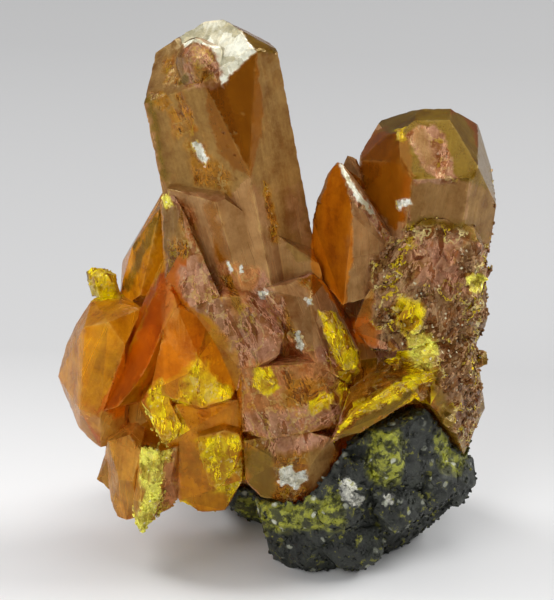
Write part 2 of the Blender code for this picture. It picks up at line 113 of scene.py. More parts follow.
# The grain of neighbouring facets is shifted by steps, so that it doesn't run on across their border.
GRAIN_SHIFTS = 17
GRAIN_SHIFT = 1.7 * MM

# Each seed of the noise moves it by this much along x, y and z.
SEED_STEPS = (7.3, 3.1, 5.7)

# Scattered growths keep this far from the sides of the CAD box.
BOX_MARGIN = 0.01 * MM

# The front view, which also places the patches below.
IMAGE_SIZE = (554, 600)
TARGET = Vector((0.208, -3.678, 22.7)) * MM
VIEW_DISTANCE = 212.5 * MM
VIEW_ELEVATION = math.radians(20)
PIXEL = 0.085 * MM
RIGHT = Vector((1, 0, 0))
FORWARD = Vector((0, math.cos(VIEW_ELEVATION), -math.sin(VIEW_ELEVATION)))
UPWARD = Vector((0, math.sin(VIEW_ELEVATION), math.cos(VIEW_ELEVATION)))
EYE = TARGET - FORWARD * VIEW_DISTANCE

# What each finish does to the surface: transmission, roughness, grain of the relief, sparkle.
FINISHES = {
    "amber": (0.70, 0.08, 0.12, 0.0),
    # umber is painted shade: amber painted darker on clear faces that would otherwise mirror light.
    "umber": (0.45, 0.10, 0.15, 0.0),
    # The next finish is painted light: amber painted brighter, as a glow, for faces that lie in shade.
    "painted_glow_amber": (0.55, 0.11, 0.30, 0.0),
    # tan, mauve and sandy are partly haze and partly painted sheen: the pale shine of lamps and floor on the
    # faces is painted into their colour.
    "tan": (0.34, 0.15, 0.42, 0.0),
    "mauve": (0.24, 0.19, 0.80, 0.25),
    "sandy": (0.30, 0.24, 0.40, 0.0),
    "rose": (0.45, 0.15, 0.65, 0.25),
    # pale is a painted highlight: near-white colour on faces that mirror a lamp.
    "pale": (0.00, 0.28, 0.90, 0.0),
    "honey": (0.60, 0.20, 0.34, 0.0),
    "peach": (0.50, 0.24, 0.40, 0.0),
    "orange": (0.68, 0.13, 0.50, 0.0),
    "red_orange": (0.65, 0.14, 0.25, 0.0),
    "yellow": (0.36, 0.15, 0.75, 0.3),
    "lemon": (0.12, 0.20, 0.95, 0.7),
    "olive": (0.50, 0.14, 0.35, 0.0),
    "brown": (0.55, 0.12, 0.85, 0.3),
    "druse": (0.25, 0.24, 1.00, 0.8),
    # glint is a painted highlight: near white where small facets would catch the lamps.
    "glint": (0.00, 0.18, 0.80, 1.0),
    "rock": (0.0, 0.55, 1.0, 0.1),
    "crust": (0.0, 0.42, 1.0, 0.6),
}

# The growths, each from its foot to its tip in millimetres, and the two finishes that its facets take.
GROWTHS = {
    "tall crystal": ((1.4, -3.7, 7), (-6.2, -3.7, 48.5), "tan", "olive"),
    "step": ((1.7, -5.5, 8), (-6.1, -5.5, 35), "sandy", "rose"),
    "fringe": ((-7, -6, 23), (-9, -5.5, 32), "mauve", "brown"),
    "foot": ((0.5, -9, 17), (-3, -8.8, 26), "mauve", "brown"),
    "right crystal": ((11.4, -0.7, 14), (14.4, -0.7, 41), "olive", "amber"),
    "blade": ((6.5, -4.5, 24), (5.5, -3, 35), "sandy", "amber"),
    "druse": ((12, -5.5, 20), (13.5, -5.5, 26), "druse", "mauve"),
    "column": ((15.5, -3, 10), (16, -3, 20), "olive", "druse"),
    "flake": ((5, -10.5, 13), (13, -8.5, 17.6), "brown", "yellow"),
    "smooth blade": ((-13, 0, 20), (-9, 0, 31), "honey", "olive"),
    "frosted lump": ((-14.5, -6, 12), (-13.5, -3, 22), "honey", "peach"),
    "yellow knob": ((-15, -1, 22.5), (-15, -1, 24.5), "yellow", "olive"),
    "red blade": ((-15, -8, 14), (-8.5, -6, 25), "red_orange", "orange"),
    "yellow mass": ((-6, -8, 14), (-6, -7, 22), "orange", "honey"),
    "low mass": ((-6, -8, 5), (-7, -9, 14), "orange", "yellow"),
    "pink prism": ((-13, -8, 5), (-13, -8, 12), "peach", "honey"),
    "spike": ((-11, -9, 4), (-10.5, -10, 11.5), "lemon", "orange"),
    "brown lump": ((1, -10, 6), (2, -10, 13), "brown", "mauve"),
    "back left": ((-5.8, 1.3, 10), (-10.4, 4.7, 22), "honey", "red_orange"),
    "back middle": ((2.2, 0.8, 10), (5.2, 4.9, 26), "tan", "amber"),
    "back right": ((10.2, 1.3, 12), (12.8, 5.7, 24), "olive", "amber"),
    "back mass": ((-6, 2, 10), (7, 3, 13), "brown", "orange"),
}
ROCK_GROWTHS = {
    "rock": ((0, 0, 0), (10, 0, 10), "rock", "rock"),
}

# Patches on the crystals as the front view shows them: what it is, its finish, how soft its
# border is in pixels, and its corners in pixels.
CRYSTAL_PATCHES = (
    # Haze and painted sheen on the tall crystal's right face.
    ("right face", "tan", 1, ((256, 52), (278, 52), (314, 258), (296, 262), (250, 178), (262, 125))),
    ("right face, lower", "sandy", 8, ((284, 195), (302, 190), (312, 250), (292, 232))),
    ("left front face", "tan", 1, ((144, 84), (205, 84), (221, 152), (249, 177), (228, 196), (166, 190))),
    # Painted shade: the groove, cavity and hollow below are painted brown.
    ("left front, groove", "brown", 3, ((174, 92), (184, 94), (197, 128), (190, 138), (181, 112))),
    ("left front, cavity", "brown", 2,
     ((149, 92), (163, 90), (172, 104), (164, 112), (156, 106), (152, 118))),
    ("left front, hollow", "brown", 3, ((168, 108), (180, 112), (186, 134), (176, 140))),
    ("left front, lower", "brown", 4, ((184, 140), (200, 146), (232, 176), (228, 194), (196, 186))),
    ("left front, edge", "olive", 4, ((146, 96), (152, 96), (168, 180), (162, 180))),
    ("window", "amber", 1,
     ((206, 86), (222, 83), (256, 53), (262, 95), (262, 130), (249, 178), (221, 153), (210, 121))),
    # Painted shade: the window's left part is painted darker.
    ("window, left", "umber", 3,
     ((205, 87), (224, 82), (240, 130), (248, 176), (238, 172), (222, 156), (211, 124))),
    # Painted highlight: the top face is painted near white where it mirrors the lamp above and to the left.
    ("top face", "pale", 1,
     ((176, 42), (196, 14), (240, 22), (256, 51), (221, 85), (214, 62), (205, 46), (192, 42), (183, 49))),
    ("top chamfer", "olive", 1, ((237, 24), (252, 28), (277, 50), (258, 54))),
    ("left shoulder", "tan", 2, ((144, 82), (158, 42), (178, 36), (184, 48), (178, 88), (150, 92))),
    # Painted shade in the shoulder's hollow.
    ("shoulder hollow", "brown", 3, ((164, 60), (172, 56), (179, 84), (166, 86))),
    ("bulge", "mauve", 3, ((184, 48), (196, 42), (212, 50), (222, 72), (214, 88), (186, 86))),
    # Painted shade in the bulge's pits.
    ("bulge pits", "brown", 3, ((192, 62), (202, 62), (216, 82), (196, 84))),
    # Painted highlight on a sliver.
    ("white sliver", "glint", 1, ((190, 143), (197, 141), (208, 158), (205, 166), (196, 156))),
    ("under window", "sandy", 4, ((228, 196), (250, 178), (266, 200), (270, 236), (248, 220))),
    ("brown seam", "brown", 2, ((262, 180), (270, 184), (280, 243), (272, 240))),
    ("step, right face", "sandy", 3,
     ((212, 196), (226, 197), (241, 215), (293, 258), (300, 284), (241, 269))),
    ("step, left face", "rose", 3, ((176, 200), (192, 206), (206, 262), (212, 280), (194, 250))),
    ("step, channel", "amber", 4, ((204, 204), (212, 198), (230, 260), (220, 262))),
    ("fringe, glitter", "lemon", 2, ((160, 195), (170, 194), (173, 205), (163, 208))),
    ("fringe, face", "tan", 3, ((162, 206), (176, 206), (186, 240), (166, 262))),
    ("fringe, knobs", "brown", 3, ((168, 236), (187, 238), (188, 258), (170, 258))),
    ("foot, left", "mauve", 4, ((176, 262), (212, 268), (236, 332), (234, 360), (212, 318), (184, 306))),
    ("foot, streaks", "rose", 3, ((214, 262), (260, 268), (262, 318), (236, 330))),
    # Painted shade in the dark slits.
    ("foot, dark slits", "brown", 2, ((222, 276), (230, 272), (248, 316), (240, 320))),
    ("foot, dark slits right", "brown", 2, ((278, 312), (288, 308), (300, 346), (290, 350))),
    ("foot, pitted face", "mauve", 3,
     ((232, 330), (262, 270), (284, 300), (286, 338), (280, 356), (256, 368), (240, 370))),
    ("foot, right face", "sandy", 3,
     ((262, 268), (300, 284), (330, 314), (340, 352), (300, 344), (284, 300))),
    ("foot, dark streaks", "rose", 3, ((284, 335), (316, 350), (318, 366), (286, 362))),
    ("foot, low", "rose", 4, ((241, 368), (280, 358), (334, 366), (340, 400), (268, 412), (244, 430))),
    ("foot, low face", "brown", 6, ((286, 372), (330, 380), (326, 410), (282, 404))),
    # Painted highlights: a chip, a spot, slivers and a fleck painted near white where facets would glint.
    ("foot, bright chip", "glint", 1, ((293, 333), (298, 330), (305, 343), (302, 352), (297, 347))),
    ("foot, bright spot", "glint", 1, ((306, 299), (312, 298), (314, 304), (308, 306))),
    ("foot, bright sliver", "glint", 1, ((225, 261), (229, 261), (234, 272), (231, 274))),
    ("foot, small sliver", "glint", 1, ((239, 267), (243, 264), (242, 272), (239, 274))),
    ("foot, bright fleck", "glint", 1, ((257, 292), (266, 290), (268, 294), (262, 298))),
    ("shelf", "mauve", 3, ((243, 412), (340, 402), (342, 424), (268, 438), (244, 432))),
    ("yellow strip", "yellow", 2, ((318, 311), (336, 313), (358, 354), (358, 368), (344, 372), (332, 354))),
    ("yellow patch", "yellow", 2, ((253, 370), (272, 367), (278, 388), (266, 396), (254, 388))),
    ("yellow vein", "yellow", 2, ((306, 402), (334, 392), (330, 410), (312, 414))),
    ("brown lump", "brown", 3,
     ((243, 436), (268, 440), (342, 424), (344, 450), (318, 502), (262, 504), (244, 470))),
    ("lump, left", "olive", 5, ((244, 448), (272, 452), (276, 500), (256, 502), (244, 472))),
    ("lump, hazed top", "mauve", 4, ((262, 440), (340, 428), (338, 446), (270, 456))),
    # Painted highlight on the lump.
    ("lump, white patch", "glint", 1,
     ((279, 468), (292, 466), (296, 472), (306, 470), (312, 480), (302, 484), (296, 492), (288, 484),
      (280, 486))),
    ("lump, right", "tan", 5, ((308, 452), (338, 440), (332, 482), (306, 498))),
    ("lump rim", "crust", 2, ((221, 503), (262, 504), (262, 526), (238, 522))),
    # Painted light: the blade's shaded left face is painted as glowing amber.
    ("blade, left face", "painted_glow_amber", 1,
     ((336, 160), (347, 184), (353, 215), (353, 258), (343, 318), (311, 268), (313, 220))),
    ("blade, right face", "sandy", 1,
     ((348, 180), (392, 238), (389, 252), (366, 300), (344, 318), (353, 258), (353, 215))),
    # Haze and painted sheen along the blade's rim.
    ("blade, rim", "mauve", 1,
     ((337, 161), (345, 172), (369, 205), (392, 237), (386, 243), (362, 212), (344, 184))),
    # Painted highlight along the blade's upper rim.
    ("blade, white rim", "pale", 1,
     ((336, 160), (342, 165), (352, 181), (366, 200), (376, 214), (372, 214), (358, 200), (345, 182))),
    ("right crystal, left facets", "amber", 2,
     ((357, 158), (376, 130), (405, 122), (411, 160), (412, 196), (394, 232), (366, 196))),
    # Painted shade on the right crystal's dark facets.
    ("right crystal, dark", "umber", 4,
     ((358, 156), (376, 131), (392, 128), (390, 160), (376, 184), (366, 190))),
    ("right crystal, top", "olive", 2,
     ((376, 132), (405, 120), (460, 112), (476, 136), (440, 126), (405, 134))),
    # Haze and painted sheen on the facet that faces the lamp above.
    ("hazed facet", "mauve", 2,
     ((405, 136), (420, 124), (436, 125), (444, 138), (458, 182), (443, 183), (428, 172))),
    ("hazed facet, core", "sandy", 4, ((410, 134), (424, 126), (436, 160), (428, 168))),
    ("right crystal, right facets", "olive", 2,
     ((444, 130), (464, 120), (497, 180), (497, 196), (479, 188), (458, 184))),
    ("right crystal, front", "sandy", 2, ((412, 184), (472, 182), (464, 236), (430, 222), (408, 232))),
    ("right crystal, right front", "tan", 2, ((472, 182), (497, 196), (490, 246), (464, 236))),
    ("yellow corner", "yellow", 2, ((394, 130), (404, 127), (403, 142), (396, 140))),
    # Painted highlight on a chip.
    ("white chip", "glint", 2, ((394, 200), (410, 198), (413, 206), (398, 210))),
    ("dark spot", "amber", 3, ((390, 212), (406, 214), (406, 222), (394, 222))),
    ("druse top", "olive", 4, ((408, 222), (430, 218), (470, 224), (484, 240), (440, 240))),
    ("druse", "druse", 4,
     ((372, 262), (404, 226), (462, 228), (486, 262), (486, 350), (440, 372), (376, 330))),
    ("druse, hazed", "mauve", 8, ((404, 236), (460, 240), (462, 300), (420, 280))),
    ("orange recess", "red_orange", 3, ((350, 318), (366, 314), (378, 330), (376, 346), (354, 340))),
    ("druse, yellow", "yellow", 4, ((392, 312), (400, 296), (424, 306), (420, 330), (402, 334))),
    ("druse, bright", "lemon", 3, ((406, 330), (428, 328), (440, 346), (434, 372), (412, 366))),
    ("lemon spot", "lemon", 2, ((466, 276), (478, 272), (487, 280), (484, 292), (470, 292))),
    ("column", "olive", 5, ((432, 372), (480, 352), (486, 410), (470, 456), (440, 440))),
    ("column, druse", "druse", 6, ((436, 360), (464, 356), (466, 400), (444, 404))),
    ("column, glitter", "druse", 4,
     ((466, 350), (500, 345), (500, 420), (474, 460), (452, 430), (462, 380))),
    ("column, edge", "olive", 4, ((484, 350), (498, 345), (496, 410), (478, 440), (482, 390))),
    ("flake, top", "brown", 3, ((352, 372), (396, 362), (412, 374), (396, 394), (348, 404))),
    ("flake, band", "yellow", 2, ((332, 440), (352, 408), (408, 376), (434, 378), (398, 396), (352, 421))),
    ("flake, lower band", "olive", 2, ((330, 444), (360, 420), (420, 386), (412, 398), (350, 436))),
    ("smooth blade", "honey", 2, ((118, 290), (160, 198), (166, 268), (142, 300))),
    ("smooth blade, edge", "olive", 3, ((122, 288), (160, 200), (158, 226), (130, 292))),
    ("knob", "yellow", 2, ((86, 266), (112, 266), (124, 298), (90, 302))),
    ("lump, upper", "honey", 3, ((70, 340), (90, 304), (142, 300), (100, 412), (76, 396))),
    ("lump, left", "peach", 6, ((58, 360), (78, 330), (84, 400), (70, 410))),
    ("lump, low", "peach", 5, ((66, 392), (96, 412), (132, 420), (108, 448))),
    ("red blade", "red_orange", 1,
     ((167, 276), (178, 292), (162, 331), (149, 364), (119, 407), (96, 414), (135, 341), (156, 292))),
    # Painted glow on the striated face.
    ("striated face", "painted_glow_amber", 2, ((178, 292), (210, 326), (196, 358), (152, 392), (136, 396), (162, 331))),
    ("orange face", "orange", 3, ((208, 326), (228, 336), (236, 389), (212, 378), (199, 357))),
    ("bright facet", "yellow", 5,
     ((187, 374), (199, 357), (212, 377), (235, 388), (231, 400), (200, 409), (176, 401))),
    ("left facet", "yellow", 4,
     ((150, 388), (161, 379), (168, 403), (182, 426), (177, 438), (163, 444), (151, 415))),
    ("right facet", "yellow", 5,
     ((197, 438), (224, 436), (243, 436), (243, 447), (234, 470), (217, 491), (199, 456))),
    ("recess", "orange", 4, ((182, 406), (236, 400), (240, 434), (198, 436), (186, 428))),
    ("recess, low", "orange", 4, ((176, 440), (196, 436), (214, 492), (180, 500))),
    ("low edge", "honey", 3, ((178, 494), (226, 492), (228, 512), (200, 515))),
    ("pink prism", "peach", 3, ((110, 440), (138, 436), (142, 510), (120, 520))),
    ("sparkling band", "lemon", 3, ((140, 444), (158, 446), (160, 500), (148, 526), (140, 512))),
    ("spike, shade", "rose", 3, ((162, 472), (177, 444), (180, 500), (162, 512))),
    ("side spike", "peach", 2, ((97, 482), (110, 452), (116, 500))),
)

ROCK_PATCHES = (
    ("front band", "crust", 5, ((236, 500), (300, 500), (346, 496), (344, 530), (268, 532), (240, 520))),
    ("nodule", "crust", 4, ((368, 432), (400, 430), (406, 470), (392, 490), (370, 480))),
    ("dark cleft", "rock", 3, ((404, 440), (436, 440), (450, 500), (410, 520))),
    ("right crust", "crust", 6, ((436, 432), (470, 440), (462, 476), (444, 470))),
    ("pale flake", "glint", 1,
     ((340, 482), (346, 478), (354, 482), (360, 494), (366, 500), (358, 508), (350, 502), (342, 500))),
    ("white specks", "glint", 1, ((384, 494), (392, 496), (394, 504), (386, 503))),
)

# The crystals' noises and cells: how many fit in a metre across the grain and along it, or every way.
STREAKS = (2600, 330, 1)
BROAD = (900, 50, 1)
THIN = (560, 300, 1)
SLITS = (720, 230, 1)
MOTTLE = 700
FINE = 4200
VEINS = 330
SHARDS = 720.0
CHIPS = 2100.0
SPARKS = 2600.0

# A noise bends the cells out of line: how far, in metres, and how many bends fit in a metre.
BEND = 1.2 * MM
BENDS = 500.0

# What marks do to the colour under them, as factors on red, green and blue.
HAZED_SHADE = (0.60, 0.58, 0.48)
CLEAR_SHADE = (0.50, 0.28, 0.13)
LIGHT = (1.42, 1.48, 1.55)
BARE = (1.08, 0.62, 0.12)
# Scratches and painted glints: how much lighter the fine streak lines are painted.
SCRATCHED_AND_GLINTING = (1.9, 1.9, 2.2)
# Painted rim highlight: how much brighter sharp edges are painted, as where light catches them.
RIM_BRIGHTENING = (1.9, 1.9, 1.9)
# Painted shade: how much darker and redder the hollows are painted.
HOLLOW_SHADE = (0.52, 0.22, 0.06)
SLIT = (2.1, 2.1, 2.1)
FLANK = (0.42, 0.26, 0.12)

# Colours of the crystals' fine marks, of the shine on their faces and of light that has gone through.
# Painted rim highlight: the colour that sharp edges are lightened towards.
RIM_HIGHLIGHT = (0.66, 0.46, 0.16)
DEEP_VEIN = (0.90, 0.66, 0.02)
PALE_VEIN = (0.95, 0.80, 0.34)
# Painted highlight: the pale colour of the sparks that stand in for glints.
PAINTED_SPARK = (1.0, 0.94, 0.66)
SHEEN = (1.0, 0.72, 0.20)
DEPTHS = (1.0, 0.66, 0.08)

# The rock's noises and cells in a metre, factors on its colour, and the colours that lie on it.
ROCK_LUMPS = 620
ROCK_FINE = 3600
ROCK_CELLS = 1500.0
CRUST_SPREAD = 1250
ROCK_SHADE = (0.35, 0.35, 0.36)
ROCK_LIGHT = (1.9, 1.9, 1.8)
CRUST_GAP = (0.22, 0.22, 0.26)
GREEN_DUST = (0.34, 0.33, 0.02)
SPECK = (0.62, 0.64, 0.50)

# How deep the bumps of the materials are.
CRYSTAL_BUMP = 0.22 * MM
ROCK_BUMP = 0.3 * MM

# The small growths are prisms. Each is between these sizes, as shares of its layer's radius and length.
PRISM_SIDES = 5
PRISM_TAPER = 0.55
SMALLEST_GROWTH = (0.45, 0.45, 0.6)
LARGEST_GROWTH = (1.25, 1.0, 1.2)

# The least distance between two of a layer, as a share of their radius.
SPACING = 0.9

# Each layer's length as a share of its radius, its greatest lean in radians, and its seed.
GROWTH_FORMS = {
    "druse_crystals": (0.35, 0.7, 3),
    "yellow_grit": (0.3, 0.8, 5),
    "rock_grains": (0.4, 1.0, 7),
}

# Painted light: the floor darkens from front to back between these places, as the lamps' light falls off, and
# they slant by this much from left to right.
FLOOR_NEAR = (-0.03, 0.04)
FLOOR_FAR = (0.04, 0.17)
FLOOR_SLANT = 0.14

# Where each lamp stands, and its width and power as shares of the stage's own. All face one place.
LAMPS = {
    "left_lamp": ((-0.30, 0.15, 0.43), 0.8, 0.52),
    "right_lamp": ((0.42, 0.12, 0.32), 1.1, 0.95),
    "top_lamp": ((0.06, 0.06, 0.60), 2.2, 0.55),
    "front_lamp": ((-0.34, -0.46, 0.40), 2.4, 1.0),
}
LAMP_AIM = (0, 0, 0.02)

# The light from all round, and how the eye sees it.
SURROUND_LIGHT = (0.14, 0.14, 0.15)
SURROUND_SEEN = (0.46, 0.46, 0.46)


def colour(name, value, words):
    return FloatVectorProperty(
        name=name, description=words, subtype="COLOR", size=3, min=0, max=1, default=value,
    )


def length(name, value, words):
    return FloatProperty(name=name, description=words, unit="LENGTH", default=value)


class CrystalLook(PropertyGroup):
    """Sizes and colours of the orpiment crystals."""

    net: length("Net", 0.57 * MM, "Longest edge of the surface net")
    fine: length("Fine net", 0.20 * MM, "Longest edge along a crisp border")
    chip: length("Chips", 0.16 * MM, "Deepest chip on a sharp edge")
    pit: length("Pits", 0.20 * MM, "Deepest pit on a rough face")
    pit_size: length("Pit size", 0.9 * MM, "How far apart the pits are")
    amber: colour("Amber", (0.420, 0.120, 0.004), "Clear faces that look dark")
    # Painted shade: darker amber for clear faces that should show dark instead of mirrored light.
    umber: colour("Umber", (0.230, 0.060, 0.002), "Clear faces over a dark inside")
    # Painted light: amber painted brighter, as a glow, for faces that lie in shade.
    painted_glow_amber: colour("Ember", (0.780, 0.220, 0.004), "Clear faces that glow in the shade")
    # Tan, mauve and sandy: partly haze, partly painted sheen from the lamps and the floor.
    tan: colour("Tan", (0.280, 0.150, 0.044), "Hazed faces of the tall crystal")
    mauve: colour("Mauve", (0.400, 0.195, 0.120), "Pitted faces with the most haze")
    sandy: colour("Sandy", (0.350, 0.180, 0.074), "Fine-grained faces")
    rose: colour("Rose", (0.560, 0.230, 0.085), "Reddish, lightly hazed faces")
    # Painted highlight: near white, for faces that mirror a lamp.
    pale: colour("Pale", (0.800, 0.770, 0.620), "Bright striated faces")
    honey: colour("Honey", (0.880, 0.375, 0.006), "Frosted orange faces")
    peach: colour("Peach", (0.700, 0.330, 0.042), "Pink-orange faces")
    orange: colour("Orange", (0.860, 0.340, 0.004), "Broken orange faces")
    red_orange: colour("Red orange", (0.760, 0.140, 0.001), "The long blade's face")
    yellow: colour("Yellow", (0.960, 0.780, 0.004), "Bright yellow broken faces")
    lemon: colour("Lemon", (0.930, 0.910, 0.140), "Sparkling pale yellow grit")
    olive: colour("Olive", (0.235, 0.135, 0.008), "Brown-green clear faces")
    # Brown is the colour of brown parts, and is painted also as shade into hollows, grooves, pits and slits.
    brown: colour("Brown", (0.420, 0.170, 0.012), "Hollows and grooves")
    druse: colour("Druse", (0.330, 0.190, 0.100), "Faces covered in small crystals")
    # Painted highlight: near-white colour where small facets would glint in the lamps' light.
    glint: colour("Glint", (0.640, 0.630, 0.560), "White fresh chips")


class RockLook(PropertyGroup):
    """Sizes and colours of the rock under the crystals."""

    net: length("Net", 0.50 * MM, "Longest edge of the surface net")
    fine: length("Fine net", 0.25 * MM, "Longest edge along a crisp border")
    chip: length("Chips", 0.30 * MM, "Deepest chip on a sharp edge")
    pit: length("Pits", 0.55 * MM, "Deepest hollow in the rock")
    pit_size: length("Pit size", 1.4 * MM, "How far apart the hollows are")
    rock: colour("Rock", (0.030, 0.033, 0.026), "Dark grey-green rock")
    crust: colour("Crust", (0.300, 0.310, 0.030), "Yellow-green crust")


class GrowthLook(PropertyGroup):
    """Numbers and sizes of the small growths on the crystals and the rock."""

    druse: IntProperty(name="Druse", description="Small crystals on the druse", default=1500, min=0)
    druse_size: length("Druse size", 0.24 * MM, "Radius of a small crystal")
    grit: IntProperty(name="Grit", description="Yellow plates on the bright faces", default=700, min=0)
    grit_size: length("Grit size", 0.17 * MM, "Radius of a plate")
    grains: IntProperty(name="Grains", description="Loose-looking grains on the rock", default=3200, min=0)
    grain_size: length("Grain size", 0.26 * MM, "Radius of a grain")


class StageLook(PropertyGroup):
    """The floor and the lamps."""

    floor: length("Floor", 6.0, "Width of the floor")
    # Painted light: the floor is painted lighter in front and darker behind.
    near: colour("Near floor", (0.90, 0.90, 0.895), "Floor in front")
    middle: colour("Middle floor", (0.52, 0.52, 0.52), "Floor beside the specimen")
    far: colour("Far floor", (0.43, 0.43, 0.43), "Floor behind")
    lamp: FloatProperty(
        name="Lamp", description="Power that each lamp has its share of", default=2.2, unit="POWER",
    )
    lamp_size: length("Lamp size", 0.22, "Width that each lamp has its share of")


def sight(points):
    """Where points, in metres, fall in the front view, in its pixels."""
    rel = points - np.array(EYE)
    scale = VIEW_DISTANCE / PIXEL / (rel @ np.array(FORWARD))
    u = IMAGE_SIZE[0] / 2 + rel @ np.array(RIGHT) * scale
    v = IMAGE_SIZE[1] / 2 - rel @ np.array(UPWARD) * scale
    return u, v


def inside_by(u, v, corners):
    """How far, in pixels, each point lies inside a polygon; outside it is negative."""
    nearest = np.full(u.shape, 1e9)
    inside = np.zeros(u.shape, bool)
    for (u0, v0), (u1, v1) in zip(corners, corners[1:] + corners[:1]):
        du, dv = u1 - u0, v1 - v0
        t = np.clip(((u - u0) * du + (v - v0) * dv) / (du * du + dv * dv), 0, 1)
        nearest = np.minimum(nearest, np.hypot(u - u0 - t * du, v - v0 - t * dv))
        crosses = (v0 > v) != (v1 > v)
        inside ^= crosses & (u < u0 + (v - v0) * du / (dv if dv else 1e-9))
    return np.where(inside, nearest, -nearest)


def fractal(points, size, octaves=3, seed=0):
    """Smooth noise from -1 to 1 at each point; size is how far apart its lumps are, in metres."""
    offset = Vector([seed * step for step in SEED_STEPS])
    return np.array([noise.fractal(Vector(p) / size + offset, 0.6, 2.0, octaves) for p in points])


def facets_of(node):
    """A welded copy of a CAD node in which every flat facet is one numbered face."""
    bm = bmesh.new()
    bm.from_mesh(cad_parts[node].data)
    bmesh.ops.remove_doubles(bm, verts=bm.verts, dist=WELD)
    bmesh.ops.dissolve_limit(bm, angle_limit=FLAT, verts=bm.verts, edges=bm.edges)
    facet = bm.faces.layers.int.new("facet")
    for number, face in enumerate(bm.faces):
        face[facet] = number
    return bm


def facet_finish(bm, growths):
    """For each facet: the growth that it lies on, one of that growth's two finishes, and a shade."""
    names = list(growths)
    lines = [(Vector(growths[n][0]) * MM, Vector(growths[n][1]) * MM) for n in names]
    chosen = []
    for face in bm.faces:
        centre = face.calc_center_median()
        distances = []
        for foot, tip in lines:
            t = max(0, min(1, (centre - foot).dot(tip - foot) / (tip - foot).length_squared))
            distances.append((centre - foot.lerp(tip, t)).length)
        growth = names[distances.index(min(distances))]
        main, second = growths[growth][2:]
        turn = noise.noise(centre / FINISH_SIZE + face.normal * 1.5)
        shade = 1 + SHADE_SWING * noise.cell(centre / SHADE_SIZE + face.normal * 3)
        chosen.append((growth, main if turn < SECOND_FINISH else second, shade))
    return chosen


def near_border(edges, patches):
    """Whether each edge faces the front view and lies beside the crisp border of a patch."""
    middles = np.array([(e.verts[0].co + e.verts[1].co) / 2 for e in edges])
    facing = np.array([any(f.normal.dot(EYE - e.verts[0].co) > 0 for f in e.link_faces) for e in edges])
    u, v = sight(middles)
    near = np.zeros(len(edges), bool)
    for _, _, soft, outline in patches:
        if soft < CRISP:
            near |= np.abs(inside_by(u, v, outline)) < BESIDE
    return near & facing


def halve(bm, edges):
    """Splits edges in the middle, and cuts the faces beside them into triangles again."""
    bmesh.ops.subdivide_edges(bm, edges=edges, cuts=1)
    bmesh.ops.triangulate(bm, faces=[f for f in bm.faces if len(f.verts) > 3])


def refine(bm, longest, fine, patches):
    """Splits long edges until facets carry an even net of small triangles, finer along crisp borders."""
    facet = bm.faces.layers.int["facet"]
    bmesh.ops.triangulate(bm, faces=bm.faces, ngon_method="BEAUTY")
    for _ in range(ROUNDS):
        halve(bm, [e for e in bm.edges if e.calc_length() > longest])
    bm.normal_update()
    for _ in range(BORDER_ROUNDS):
        long_edges = [e for e in bm.edges if e.calc_length() > fine]
        near = near_border(long_edges, patches)
        halve(bm, [e for e, n in zip(long_edges, near) if n])
    flat = [e for e in bm.edges if len({f[facet] for f in e.link_faces}) == 1]
    bmesh.ops.beautify_fill(bm, faces=bm.faces, edges=flat)
    bm.normal_update()


def sharp_edges(bm):
    """Marks the borders between facets, and gives each vertex how sharp and proud its border is."""
    facet = bm.faces.layers.int["facet"]
    bm.verts.index_update()
    edge_wear_and_rim_light = np.zeros(len(bm.verts))
    for face in bm.faces:
        face.smooth = True
    for edge in bm.edges:
        edge.smooth = True
        if len({f[facet] for f in edge.link_faces}) == 2:
            angle = edge.calc_face_angle_signed(0)
            edge.smooth = abs(angle) < SMOOTH
            for vert in edge.verts:
                edge_wear_and_rim_light[vert.index] = max(edge_wear_and_rim_light[vert.index], min(1, angle / FULL_WEAR_AND_RIM_LIGHT))
    return edge_wear_and_rim_light


def finish_row(name):
    """A finish as one row: its colour, 1, then its four numbers."""
    scene = bpy.context.scene
    look = scene.specimen_rock if name in {"rock", "crust"} else scene.specimen_crystals
    return np.array([*getattr(look, name), 1.0, *FINISHES[name]])


def seen_by_eye(bm):
    """1 for each vertex that the front view sees, and 0 for the others."""
    tree = BVHTree.FromBMesh(bm)
    seen = np.zeros(len(bm.verts))
    for i, vert in enumerate(bm.verts):
        start = vert.co + vert.normal * LIFT
        away = EYE - start
        if vert.normal.dot(away) > 0 and tree.ray_cast(start, away.normalized())[0] is None:
            seen[i] = 1
    return seen


def paint(bm, chosen, patches):
    """The finish at each corner of each triangle: colour, then transmission, roughness, grain, sparkle."""
    facet = bm.faces.layers.int["facet"]
    points = np.array([v.co for v in bm.verts])
    corners = np.array([[v.index for v in f.verts] for f in bm.faces])
    facet_of = np.array([f[facet] for f in bm.faces])
    normals = np.array([f.normal for f in bm.faces])
    rows = np.array([finish_row(name) for _, name, _ in chosen])
    shades = np.array([shade for _, _, shade in chosen])
    painted = np.repeat(rows[facet_of][:, None, :], 3, axis=1)

    toward = np.array(EYE) - points[corners].mean(axis=1)
    toward /= np.linalg.norm(toward, axis=1)[:, None]
    facing = np.clip(((normals * toward).sum(axis=1) - GRAZING) / GRAZING_FADE, 0, 1)
    facing *= seen_by_eye(bm)[corners].max(axis=1)

    u, v = sight(points)
    wander_u = fractal(points, BORDER_SIZE, 4, 1)
    wander_v = fractal(points, BORDER_SIZE, 4, 2)
    for _, name, soft, outline in patches:
        stray = STRAY + soft * STRAY_PER_SOFT
        depth = inside_by(u + wander_u * stray, v + wander_v * stray, outline)
        weight = np.clip(depth / soft + 0.5, 0, 1)
        share = weight[corners] * facing[:, None]
        painted += (finish_row(name) - painted) * share[:, :, None]
    painted[:, :, :3] *= shades[facet_of][:, None, None]
    return painted, points, corners, normals, facet_of


